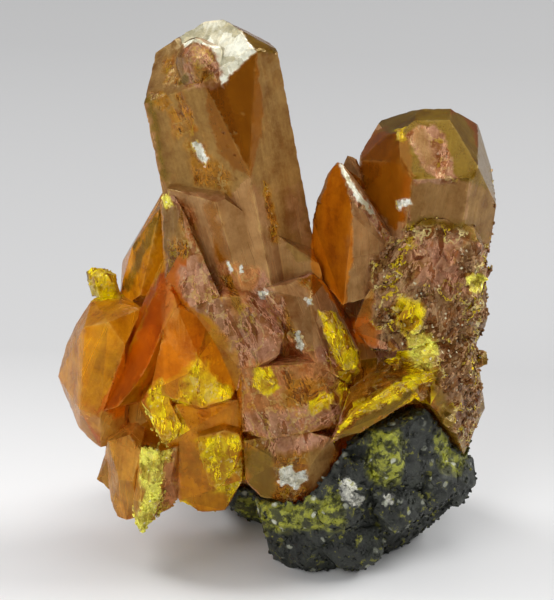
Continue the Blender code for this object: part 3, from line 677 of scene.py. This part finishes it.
def lie(points, corners, normals, facet_of, growths, chosen):
    """A UV for each corner, in metres: across the growth's length, and along it."""
    axes = {}
    for name, (foot, tip, _, _) in growths.items():
        axis = np.subtract(tip, foot)
        axes[name] = axis / np.linalg.norm(axis)
    along = np.array([axes[growth] for growth, _, _ in chosen])[facet_of]
    across = np.cross(normals, along)
    across /= np.maximum(np.linalg.norm(across, axis=1), 1e-6)[:, None]
    where = points[corners]
    shift = (facet_of % GRAIN_SHIFTS) * GRAIN_SHIFT
    u = (where * across[:, None, :]).sum(axis=2) + shift[:, None]
    v = (where * along[:, None, :]).sum(axis=2)
    return np.stack([u, v], axis=2)


def weather(bm, painted, corners, edge_wear_and_rim_light, look):
    """Pushes the surface inwards: chips on sharp edges, and pits and low waves where the grain is coarse."""
    grain = np.zeros(len(bm.verts))
    np.maximum.at(grain, corners.ravel(), painted[:, :, 6].ravel())
    points = np.array([v.co for v in bm.verts])
    chips = np.maximum(0, fractal(points, CHIP_SIZE, 3, 3) + CHIP_SHARE)
    pits = np.maximum(0, fractal(points, look.pit_size, 3, 4) + PIT_SHARE)
    depth = look.chip * np.maximum(edge_wear_and_rim_light, 0) * chips + look.pit * grain ** 2 * pits
    for vert, d in zip(bm.verts, depth):
        vert.co -= vert.normal * d


def store(mesh, painted, uv, edge_wear_and_rim_light):
    """Writes the painted finish, the lie of the grain and the edge wear, which also places the painted rim
    highlight, to the mesh.
    """
    flat = painted.reshape(-1, 8).astype(np.float32)
    for name, values in (("tint", flat[:, :4]), ("finish", flat[:, 4:])):
        layer = mesh.color_attributes.new(name, "FLOAT_COLOR", "CORNER")
        layer.data.foreach_set("color", values.ravel())
    mesh.uv_layers.new(name="lie").data.foreach_set("uv", uv.reshape(-1).astype(np.float32))
    wear_and_rim_layer = mesh.attributes.new("edge_wear_and_rim_light", "FLOAT", "POINT")
    wear_and_rim_layer.data.foreach_set("value", np.maximum(edge_wear_and_rim_light, 0).astype(np.float32))


def build_surface(node, look, growths, patches):
    """The finished mesh that stands for a CAD node."""
    bm = facets_of(node)
    chosen = facet_finish(bm, growths)
    refine(bm, look.net, look.fine, patches)
    edge_wear_and_rim_light = sharp_edges(bm)
    painted, points, corners, normals, facet_of = paint(bm, chosen, patches)
    uv = lie(points, corners, normals, facet_of, growths, chosen)
    weather(bm, painted, corners, edge_wear_and_rim_light, look)
    mesh = bpy.data.meshes.new(node + "_finished")
    bm.to_mesh(mesh)
    bm.free()
    if "custom_normal" in mesh.attributes:
        mesh.attributes.remove(mesh.attributes["custom_normal"])
    store(mesh, painted, uv, edge_wear_and_rim_light)
    return mesh


def link(name, mesh, material):
    obj = bpy.data.objects.new(name, mesh)
    bpy.context.scene.collection.objects.link(obj)
    mesh.materials.clear()
    mesh.materials.append(material)
    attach(obj, "root")
    return obj


def new_tree(name):
    material = bpy.data.materials.new(name)
    material.use_nodes = True
    material.node_tree.nodes.clear()
    return material, material.node_tree


def add(tree, kind, settings=None, **inputs):
    """A new node, its inputs by name or as _0, _1; a value that is an output socket is linked."""
    node = tree.nodes.new(kind)
    for key, value in (settings or {}).items():
        setattr(node, key, value)
    for key, value in inputs.items():
        socket = node.inputs[int(key[1:])] if key[0] == "_" else node.inputs[key.replace("_", " ")]
        if isinstance(value, bpy.types.NodeSocket):
            tree.links.new(value, socket)
        else:
            socket.default_value = value
    return node


def noise_value(tree, vector, scale, detail, roughness=0.55):
    node = add(tree, "ShaderNodeTexNoise", Vector=vector, Scale=scale, Detail=detail, Roughness=roughness)
    return node.outputs["Fac"]


def scaled(tree, vector, scale):
    return add(tree, "ShaderNodeMapping", Vector=vector, Scale=scale).outputs["Vector"]


def ranged(tree, value, low, high, to_low=0.0, to_high=1.0):
    """Brings a value from one range to another, and holds it there."""
    limits = {"From_Min": low, "From_Max": high, "To_Min": to_low, "To_Max": to_high}
    return add(tree, "ShaderNodeMapRange", Value=value, **limits).outputs["Result"]


def maths(tree, operation, a, b=0.0):
    return add(tree, "ShaderNodeMath", {"operation": operation}, _0=a, _1=b).outputs[0]


def times(tree, a, b):
    return maths(tree, "MULTIPLY", a, b)


def weighed(tree, *pairs):
    """The sum of values, each times its weight."""
    total = times(tree, *pairs[0])
    for value, weight in pairs[1:]:
        total = maths(tree, "ADD", total, times(tree, value, weight))
    return total


def away_from(tree, value, level):
    """How far a value is from a level, either way."""
    return maths(tree, "ABSOLUTE", maths(tree, "SUBTRACT", value, level))


def vector_maths(tree, operation, *values):
    inputs = {f"_{index}": value for index, value in enumerate(values)}
    return add(tree, "ShaderNodeVectorMath", {"operation": operation}, **inputs).outputs[0]


def mixed(tree, factor, a, b, blend="MIX"):
    node = tree.nodes.new("ShaderNodeMix")
    node.data_type = "RGBA"
    node.blend_type = blend
    for index, value in ((0, factor), (6, a), (7, b)):
        if isinstance(value, bpy.types.NodeSocket):
            tree.links.new(value, node.inputs[index])
        else:
            node.inputs[index].default_value = value if index == 0 else (*value, 1)
    return node.outputs[2]


def toned(tree, base, factors):
    """A colour times another, or times factors for its red, green and blue."""
    return mixed(tree, 1.0, base, factors, "MULTIPLY")


def attribute(tree, name):
    return add(tree, "ShaderNodeAttribute", {"attribute_name": name}).outputs


def channels(tree, base):
    return add(tree, "ShaderNodeSeparateColor", Color=base).outputs


def crystal_paint(tree):
    """What the crystals' material reads from its piece: the painted finish, the edge wear that also places
    the painted rim highlight, and the place.
    """
    finish = attribute(tree, "finish")
    clear, rough, grain = channels(tree, finish["Color"])
    return SimpleNamespace(
        tint=attribute(tree, "tint")["Color"],
        clear=clear,
        rough=rough,
        grain=grain,
        sparkle=finish["Alpha"],
        edge_wear_and_rim_light=attribute(tree, "edge_wear_and_rim_light")["Fac"],
        place=add(tree, "ShaderNodeTexCoord").outputs["Object"],
        lie=add(tree, "ShaderNodeUVMap", {"uv_map": "lie"}).outputs["UV"],
    )


def crystal_marks(tree, paint):
    """The noises, cells and hollows that the crystals' colour and relief share."""
    bent = add(tree, "ShaderNodeTexNoise", Vector=paint.place, Scale=BENDS, Detail=3.0).outputs["Color"]
    warped = vector_maths(tree, "MULTIPLY_ADD", bent, (BEND, BEND, BEND), paint.place)
    slits = noise_value(tree, scaled(tree, paint.lie, SLITS), 1, 6, 0.68)
    clear_part = ranged(tree, paint.clear, 0.05, 0.2)
    hollow = times(tree, ranged(tree, slits, 0.535, 0.575), ranged(tree, paint.grain, 0.5, 0.8, 0.0, 0.80))
    return SimpleNamespace(
        streaks=noise_value(tree, scaled(tree, paint.lie, STREAKS), 1, 5, 0.62),
        broad=noise_value(tree, scaled(tree, paint.lie, BROAD), 1, 3),
        thin=noise_value(tree, scaled(tree, paint.lie, THIN), 1, 5, 0.65),
        mottle=noise_value(tree, paint.place, MOTTLE, 6, 0.62),
        fine=noise_value(tree, paint.place, FINE, 3),
        veins=noise_value(tree, paint.place, VEINS, 5, 0.6),
        shards=add(tree, "ShaderNodeTexVoronoi", Vector=warped, Scale=SHARDS).outputs["Color"],
        chips=add(tree, "ShaderNodeTexVoronoi", Vector=warped, Scale=CHIPS).outputs["Color"],
        cracks=add(
            tree, "ShaderNodeTexVoronoi", {"feature": "DISTANCE_TO_EDGE"}, Vector=warped, Scale=SHARDS,
        ).outputs["Distance"],
        cells=add(
            tree, "ShaderNodeTexVoronoi", {"distance": "MANHATTAN"}, Vector=warped, Scale=SPARKS,
        ).outputs,
        slits=slits,
        clear_part=clear_part,
        hollow=times(tree, hollow, clear_part),
    )


def crystal_colour(tree, paint, marks):
    """Mottled haze over the tint, then bare spots, scratches and painted glints, seams, painted rim
    highlights, painted shade in hollows, slits, veins and painted sparks.
    """
    tint = paint.tint
    grain = paint.grain
    broken_up = ranged(tree, grain, 0.45, 1.0)
    value = weighed(
        tree, (marks.streaks, 0.16), (marks.mottle, 0.46), (marks.broad, 0.24), (marks.fine, 0.14),
    )
    shard_tone = maths(tree, "SUBTRACT", channels(tree, marks.shards)["Green"], 0.5)
    tone = times(tree, shard_tone, times(tree, broken_up, 0.20))
    light = ranged(tree, maths(tree, "ADD", value, tone), 0.40, 0.62)
    dark_tint = toned(tree, tint, mixed(tree, marks.clear_part, HAZED_SHADE, CLEAR_SHADE))
    light_tint = toned(tree, tint, LIGHT)
    contrast = ranged(tree, grain, 0.0, 0.7, 0.40, 1.0)
    now = mixed(tree, contrast, tint, mixed(tree, light, dark_tint, light_tint))

    bare = times(tree, ranged(tree, marks.thin, 0.54, 0.62), ranged(tree, grain, 0.35, 0.6, 0.0, 0.6))
    now = mixed(tree, times(tree, bare, marks.clear_part), now, toned(tree, now, BARE))

    # Scratches, lightened also as painted needle glints.
    scratch_and_glint = times(
        tree, ranged(tree, marks.streaks, 0.62, 0.68), ranged(tree, grain, 0.35, 0.7, 0.0, 0.45),
    )
    now = mixed(tree, scratch_and_glint, now, toned(tree, now, SCRATCHED_AND_GLINTING))

    seam = times(tree, ranged(tree, marks.cracks, 0.030, 0.0), times(tree, broken_up, 0.9))
    seam_tint = mixed(tree, ranged(tree, marks.mottle, 0.47, 0.52), dark_tint, light_tint)
    now = mixed(tree, seam, now, seam_tint)

    # Painted rim highlight: sharp edges are lightened where the mottle allows, as where light catches them.
    edge = times(
        tree, maths(tree, "POWER", paint.edge_wear_and_rim_light, 1.6), ranged(tree, marks.mottle, 0.42, 0.60, 0.0, 0.8),
    )
    now = mixed(tree, edge, now, mixed(tree, 0.45, RIM_HIGHLIGHT, toned(tree, tint, RIM_BRIGHTENING)))

    # Painted shade: the hollows are darkened and reddened.
    now = mixed(tree, marks.hollow, now, toned(tree, now, HOLLOW_SHADE))
    slit = ranged(tree, away_from(tree, marks.slits, 0.535), 0.020, 0.006)
    slit = times(tree, slit, ranged(tree, grain, 0.48, 0.8, 0.0, 0.85))
    now = mixed(tree, times(tree, slit, marks.clear_part), now, toned(tree, tint, SLIT))

    off = away_from(tree, marks.veins, 0.53)
    veined = times(tree, ranged(tree, paint.sparkle, 0.05, 0.8), marks.clear_part)
    flank = times(tree, ranged(tree, off, 0.050, 0.026), times(tree, veined, 0.6))
    now = mixed(tree, flank, now, toned(tree, now, FLANK))
    vein = times(tree, ranged(tree, off, 0.020, 0.008), times(tree, veined, 0.9))
    vein_tint = mixed(tree, ranged(tree, marks.broad, 0.45, 0.55), DEEP_VEIN, PALE_VEIN)
    now = mixed(tree, vein, now, vein_tint)

    # Painted highlights: sparse pale sparks where tiny facets would glint.
    lone = channels(tree, marks.cells["Color"])["Red"]
    painted_spark = times(tree, ranged(tree, lone, 0.80, 0.86), ranged(tree, marks.cells["Distance"], 0.46, 0.30))
    painted_spark = times(tree, painted_spark, ranged(tree, paint.sparkle, 0.12, 0.7))
    return mixed(tree, painted_spark, now, PAINTED_SPARK)


def crystal_relief(tree, paint, marks):
    """The normal: bumps everywhere, and on broken faces small planes that lean each its own way."""
    height = weighed(
        tree, (marks.streaks, 0.40), (marks.mottle, 0.8), (marks.fine, 0.25), (marks.hollow, -0.5),
    )
    strength = ranged(tree, paint.grain, 0.0, 1.0, 0.10, 1.0)
    bump = add(tree, "ShaderNodeBump", Height=height, Strength=strength, Distance=CRYSTAL_BUMP)
    lean = mixed(tree, 0.4, marks.shards, marks.chips)
    lean = vector_maths(tree, "SUBTRACT", lean, (0.5, 0.5, 0.5))
    amount = ranged(tree, paint.grain, 0.45, 1.0, 0.0, 1.1)
    lean = add(tree, "ShaderNodeVectorMath", {"operation": "SCALE"}, _0=lean, Scale=amount).outputs[0]
    return vector_maths(tree, "NORMALIZE", vector_maths(tree, "ADD", bump.outputs["Normal"], lean))


def orpiment_material():
    """Resinous orange mineral: tint, clearness, roughness and grain come from the painted attributes."""
    material, tree = new_tree("orpiment")
    paint = crystal_paint(tree)
    marks = crystal_marks(tree, paint)
    shader = add(
        tree, "ShaderNodeBsdfPrincipled",
        Base_Color=crystal_colour(tree, paint, marks),
        Roughness=maths(tree, "ADD", paint.rough, ranged(tree, marks.broad, 0.35, 0.65, -0.05, 0.08)),
        IOR=1.65, Specular_IOR_Level=0.4, Specular_Tint=(*SHEEN, 1),
        Transmission_Weight=paint.clear, Normal=crystal_relief(tree, paint, marks),
    )
    depths = add(tree, "ShaderNodeVolumeAbsorption", Color=(*DEPTHS, 1), Density=80.0)
    add(tree, "ShaderNodeOutputMaterial", Surface=shader.outputs[0], Volume=depths.outputs[0])
    return material


def rock_material():
    """Dark granular rock with specks, under a yellow-green crust where it is painted so."""
    material, tree = new_tree("dark_rock")
    tint = attribute(tree, "tint")["Color"]
    finish = attribute(tree, "finish")
    rough = channels(tree, finish["Color"])["Green"]
    sparkle = finish["Alpha"]
    place = add(tree, "ShaderNodeTexCoord").outputs["Object"]
    lumps = noise_value(tree, place, ROCK_LUMPS, 7, 0.68)
    fine = noise_value(tree, place, ROCK_FINE, 4, 0.7)
    spread = noise_value(tree, place, CRUST_SPREAD, 5, 0.65)
    cells = add(tree, "ShaderNodeTexVoronoi", Vector=place, Scale=ROCK_CELLS).outputs
    split = channels(tree, cells["Color"])

    light = ranged(tree, weighed(tree, (lumps, 0.6), (fine, 0.4)), 0.38, 0.66)
    now = mixed(tree, light, toned(tree, tint, ROCK_SHADE), toned(tree, tint, ROCK_LIGHT))
    crusted = times(tree, ranged(tree, sparkle, 0.15, 0.4), ranged(tree, sparkle, 0.9, 0.7))
    bare = times(tree, ranged(tree, spread, 0.54, 0.46), crusted)
    now = mixed(tree, bare, now, toned(tree, now, CRUST_GAP))
    green = times(tree, ranged(tree, spread, 0.56, 0.62), ranged(tree, split["Green"], 0.35, 0.75))
    now = mixed(tree, times(tree, green, 0.75), now, GREEN_DUST)
    speck = times(tree, ranged(tree, split["Red"], 0.90, 0.94), ranged(tree, cells["Distance"], 0.5, 0.3))
    now = mixed(tree, times(tree, speck, ranged(tree, sparkle, 0, 0.5, 0.35, 1.0)), now, SPECK)

    height = maths(tree, "ADD", lumps, times(tree, fine, 0.5))
    bump = add(tree, "ShaderNodeBump", Height=height, Strength=0.9, Distance=ROCK_BUMP)
    shader = add(
        tree, "ShaderNodeBsdfPrincipled", Base_Color=now, IOR=1.5, Normal=bump.outputs["Normal"],
        Roughness=maths(tree, "SUBTRACT", rough, times(tree, speck, 0.3)),
    )
    add(tree, "ShaderNodeOutputMaterial", Surface=shader.outputs[0])
    return material


def floor_material(look):
    """Pale floor with painted light: lighter in front than behind."""
    material, tree = new_tree("pale_floor")
    place = add(tree, "ShaderNodeTexCoord").outputs["Object"]
    parts = add(tree, "ShaderNodeSeparateXYZ", Vector=place).outputs
    back = maths(tree, "ADD", parts["Y"], times(tree, parts["X"], FLOOR_SLANT))
    now = mixed(tree, ranged(tree, back, *FLOOR_NEAR), look.near, look.middle)
    now = mixed(tree, ranged(tree, back, *FLOOR_FAR), now, look.far)
    shader = add(tree, "ShaderNodeBsdfPrincipled", Base_Color=now, Roughness=0.9, Specular_IOR_Level=0.1)
    add(tree, "ShaderNodeOutputMaterial", Surface=shader.outputs[0])
    return material


def scatter_tree(name, sides, taper):
    """Scatters small prisms over a surface; the inputs give how many, their size, lean, seed and material."""
    tree = bpy.data.node_groups.new(name, "GeometryNodeTree")
    face = tree.interface
    face.new_socket("Geometry", in_out="INPUT", socket_type="NodeSocketGeometry")
    for label in ("Spacing", "Density", "Size", "Length", "Tilt"):
        face.new_socket(label, in_out="INPUT", socket_type="NodeSocketFloat")
    face.new_socket("Seed", in_out="INPUT", socket_type="NodeSocketInt")
    face.new_socket("Material", in_out="INPUT", socket_type="NodeSocketMaterial")
    face.new_socket("Geometry", in_out="OUTPUT", socket_type="NodeSocketGeometry")
    given = tree.nodes.new("NodeGroupInput").outputs

    spread = add(
        tree, "GeometryNodeDistributePointsOnFaces", {"distribute_method": "POISSON"},
        Mesh=given["Geometry"], Distance_Min=given["Spacing"], Density_Max=given["Density"],
        Seed=given["Seed"],
    )
    prism = add(
        tree, "GeometryNodeMeshCone", {"fill_type": "NGON"},
        Vertices=sides, Side_Segments=1, Radius_Top=taper, Radius_Bottom=1.0, Depth=2.0,
    )
    tilt = add(
        tree, "FunctionNodeRandomValue", {"data_type": "FLOAT_VECTOR"},
        Min=(-1, -1, -math.pi), Max=(1, 1, math.pi), Seed=given["Seed"],
    )
    leaning = add(tree, "ShaderNodeCombineXYZ", X=given["Tilt"], Y=given["Tilt"], Z=1.0)
    turned = add(
        tree, "FunctionNodeRotateRotation", {"rotation_space": "LOCAL"},
        Rotation=spread.outputs["Rotation"],
        Rotate_By=vector_maths(tree, "MULTIPLY", tilt.outputs["Value"], leaning.outputs[0]),
    )
    growth = add(
        tree, "FunctionNodeRandomValue", {"data_type": "FLOAT_VECTOR"},
        Min=SMALLEST_GROWTH, Max=LARGEST_GROWTH, Seed=given["Seed"],
    )
    shape = add(tree, "ShaderNodeCombineXYZ", X=given["Size"], Y=given["Size"], Z=given["Length"])
    placed = add(
        tree, "GeometryNodeInstanceOnPoints",
        Points=spread.outputs["Points"], Instance=prism.outputs["Mesh"], Rotation=turned.outputs[0],
        Scale=vector_maths(tree, "MULTIPLY", growth.outputs["Value"], shape.outputs[0]),
    )
    whole = add(tree, "GeometryNodeRealizeInstances", Geometry=placed.outputs[0])
    clad = add(tree, "GeometryNodeSetMaterial", Geometry=whole.outputs[0], Material=given["Material"])
    out = tree.nodes.new("NodeGroupOutput")
    tree.links.new(clad.outputs[0], out.inputs[0])
    return tree


def face_means(mesh, name):
    """A painted attribute's mean over each triangle."""
    values = np.zeros(len(mesh.loops) * 4, np.float32)
    mesh.color_attributes[name].data.foreach_get("color", values)
    return values.reshape(-1, 3, 4).mean(axis=1)


def host_of(piece, wanted):
    """The part of a piece's surface whose painted finish passes a test, as a mesh of its own."""
    mesh = piece.data
    keep = wanted(face_means(mesh, "tint"), face_means(mesh, "finish"))
    bm = bmesh.new()
    bm.from_mesh(mesh)
    bm.faces.ensure_lookup_table()
    bmesh.ops.delete(bm, geom=[bm.faces[i] for i in np.nonzero(~keep)[0]], context="FACES")
    host = bpy.data.meshes.new("host")
    bm.to_mesh(host)
    bm.free()
    return host


def on_druse(tint, finish):
    return finish[:, 3] > 0.55


def on_yellow(tint, finish):
    return (tint[:, 1] > 0.3) & (finish[:, 3] > 0.15)


def everywhere(tint, finish):
    return np.ones(len(tint), bool)


def scatter(name, host, tree, values, material):
    """Runs the scatter tree over a host surface and turns the result into a plain mesh."""
    obj = bpy.data.objects.new(name, host)
    bpy.context.scene.collection.objects.link(obj)
    modifier = obj.modifiers.new("scatter", "NODES")
    modifier.node_group = tree
    for item in tree.interface.items_tree:
        if item.in_out == "INPUT" and item.name in values:
            modifier[item.identifier] = values[item.name]
    graph = bpy.context.evaluated_depsgraph_get()
    mesh = bpy.data.meshes.new_from_object(obj.evaluated_get(graph))
    bpy.data.objects.remove(obj)
    bpy.data.meshes.remove(host)
    low, high = (np.array(corner) for corner in CAD_BOX)
    points = np.zeros(len(mesh.vertices) * 3, np.float32)
    mesh.vertices.foreach_get("co", points)
    points = np.clip(points.reshape(-1, 3), low + BOX_MARGIN, high - BOX_MARGIN)
    mesh.vertices.foreach_set("co", points.ravel())
    mesh.update()
    mesh.name = name
    return link(name, mesh, material)


class SPECIMEN_OT_crystals(Operator):
    """Build the finished surface of the orpiment crystals"""

    bl_idname = "specimen.crystals"
    bl_label = "Crystals"

    def execute(self, context):
        look = context.scene.specimen_crystals
        mesh = build_surface("orpiment_crystals", look, GROWTHS, CRYSTAL_PATCHES)
        piece = link("orpiment_crystals_finished", mesh, orpiment_material())
        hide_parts("orpiment_crystals")
        return {"FINISHED"}


class SPECIMEN_OT_rock(Operator):
    """Build the finished surface of the rock"""

    bl_idname = "specimen.rock"
    bl_label = "Rock"

    def execute(self, context):
        look = context.scene.specimen_rock
        mesh = build_surface("rock_matrix", look, ROCK_GROWTHS, ROCK_PATCHES)
        piece = link("rock_matrix_finished", mesh, rock_material())
        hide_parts("rock_matrix")
        return {"FINISHED"}


class SPECIMEN_OT_growths(Operator):
    """Scatter the small crystals, the yellow grit and the rock grains"""

    bl_idname = "specimen.growths"
    bl_label = "Small growths"

    def execute(self, context):
        look = context.scene.specimen_growths
        crystals = bpy.data.objects["orpiment_crystals_finished"]
        rock = bpy.data.objects["rock_matrix_finished"]
        prisms = scatter_tree("small_prisms", PRISM_SIDES, PRISM_TAPER)
        layers = (
            ("druse_crystals", crystals, "orpiment", on_druse, look.druse, look.druse_size),
            ("yellow_grit", crystals, "orpiment", on_yellow, look.grit, look.grit_size),
            ("rock_grains", rock, "dark_rock", everywhere, look.grains, look.grain_size),
        )
        for name, piece, slot, wanted, number, size in layers:
            host = host_of(piece, wanted)
            material = piece.data.materials[0]
            area = sum(face.area for face in host.polygons)
            slimness, tilt, seed = GROWTH_FORMS[name]
            values = {
                "Spacing": size * SPACING, "Density": number / max(area, 1e-9), "Size": size,
                "Length": size * slimness, "Tilt": tilt, "Seed": seed, "Material": material,
            }
            scatter(name, host, prisms, values, material)
        return {"FINISHED"}


def lamp(name, place, size, power):
    data = bpy.data.lights.new(name, "AREA")
    data.shape = "SQUARE"
    data.size = size
    data.energy = power
    obj = bpy.data.objects.new(name, data)
    bpy.context.scene.collection.objects.link(obj)
    obj.location = place
    obj.rotation_euler = (Vector(LAMP_AIM) - Vector(place)).to_track_quat("-Z", "Y").to_euler()


def lay_floor(look):
    bm = bmesh.new()
    bmesh.ops.create_grid(bm, x_segments=4, y_segments=4, size=look.floor / 2)
    mesh = bpy.data.meshes.new("floor")
    bm.to_mesh(mesh)
    bm.free()
    mesh.materials.append(floor_material(look))
    floor = bpy.data.objects.new("floor", mesh)
    bpy.context.scene.collection.objects.link(floor)


def surround():
    """A dim light from all round, which the camera sees as pale."""
    world = bpy.data.worlds.new("surround")
    world.use_nodes = True
    tree = world.node_tree
    tree.nodes.clear()
    dim = add(tree, "ShaderNodeBackground", Color=(*SURROUND_LIGHT, 1), Strength=1.0)
    pale = add(tree, "ShaderNodeBackground", Color=(*SURROUND_SEEN, 1), Strength=1.0)
    direct = add(tree, "ShaderNodeLightPath").outputs["Is Camera Ray"]
    both = add(tree, "ShaderNodeMixShader", _0=direct, _1=dim.outputs[0], _2=pale.outputs[0])
    add(tree, "ShaderNodeOutputWorld", Surface=both.outputs[0])
    return world


def front_camera():
    data = bpy.data.cameras.new("front_camera")
    data.lens = 150
    data.sensor_width = 36
    data.sensor_fit = "AUTO"
    data.clip_start = 0.01
    data.clip_end = 20
    camera = bpy.data.objects.new("front_camera", data)
    camera.location = EYE
    camera.rotation_euler = FORWARD.to_track_quat("-Z", "Y").to_euler()
    bpy.context.scene.collection.objects.link(camera)
    return camera


class SPECIMEN_OT_stage(Operator):
    """Set the floor, the lamps, the surround and the camera"""

    bl_idname = "specimen.stage"
    bl_label = "Stage"

    def execute(self, context):
        scene = context.scene
        look = scene.specimen_stage
        lay_floor(look)
        for name, (place, size, power) in LAMPS.items():
            lamp(name, place, look.lamp_size * size, look.lamp * power)
        scene.world = surround()
        scene.view_settings.view_transform = "Standard"
        scene.camera = front_camera()
        return {"FINISHED"}


class SPECIMEN_PT_panel(Panel):
    """Lists the specimen's pieces"""

    bl_idname = "SPECIMEN_PT_panel"
    bl_label = "Orpiment specimen"
    bl_space_type = "VIEW_3D"
    bl_region_type = "UI"
    bl_category = "Specimen"

    def draw(self, context):
        scene = context.scene
        steps = (
            (SPECIMEN_OT_crystals, scene.specimen_crystals),
            (SPECIMEN_OT_rock, scene.specimen_rock),
            (SPECIMEN_OT_growths, scene.specimen_growths),
            (SPECIMEN_OT_stage, scene.specimen_stage),
        )
        for step, look in steps:
            box = self.layout.box()
            box.operator(step.bl_idname)
            for key in look.bl_rna.properties.keys():
                if key not in {"rna_type", "name"}:
                    box.prop(look, key)


CLASSES = (
    CrystalLook,
    RockLook,
    GrowthLook,
    StageLook,
    SPECIMEN_OT_crystals,
    SPECIMEN_OT_rock,
    SPECIMEN_OT_growths,
    SPECIMEN_OT_stage,
    SPECIMEN_PT_panel,
)


def register():
    for cls in CLASSES:
        bpy.utils.register_class(cls)
    bpy.types.Scene.specimen_crystals = PointerProperty(type=CrystalLook)
    bpy.types.Scene.specimen_rock = PointerProperty(type=RockLook)
    bpy.types.Scene.specimen_growths = PointerProperty(type=GrowthLook)
    bpy.types.Scene.specimen_stage = PointerProperty(type=StageLook)


def unregister():
    del bpy.types.Scene.specimen_stage
    del bpy.types.Scene.specimen_growths
    del bpy.types.Scene.specimen_rock
    del bpy.types.Scene.specimen_crystals
    for cls in reversed(CLASSES):
        bpy.utils.unregister_class(cls)


def main():
    register()
    bpy.ops.specimen.crystals()
    bpy.ops.specimen.rock()
    bpy.ops.specimen.growths()
    bpy.ops.specimen.stage()
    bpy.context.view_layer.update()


if __name__ == "__main__":
    main()
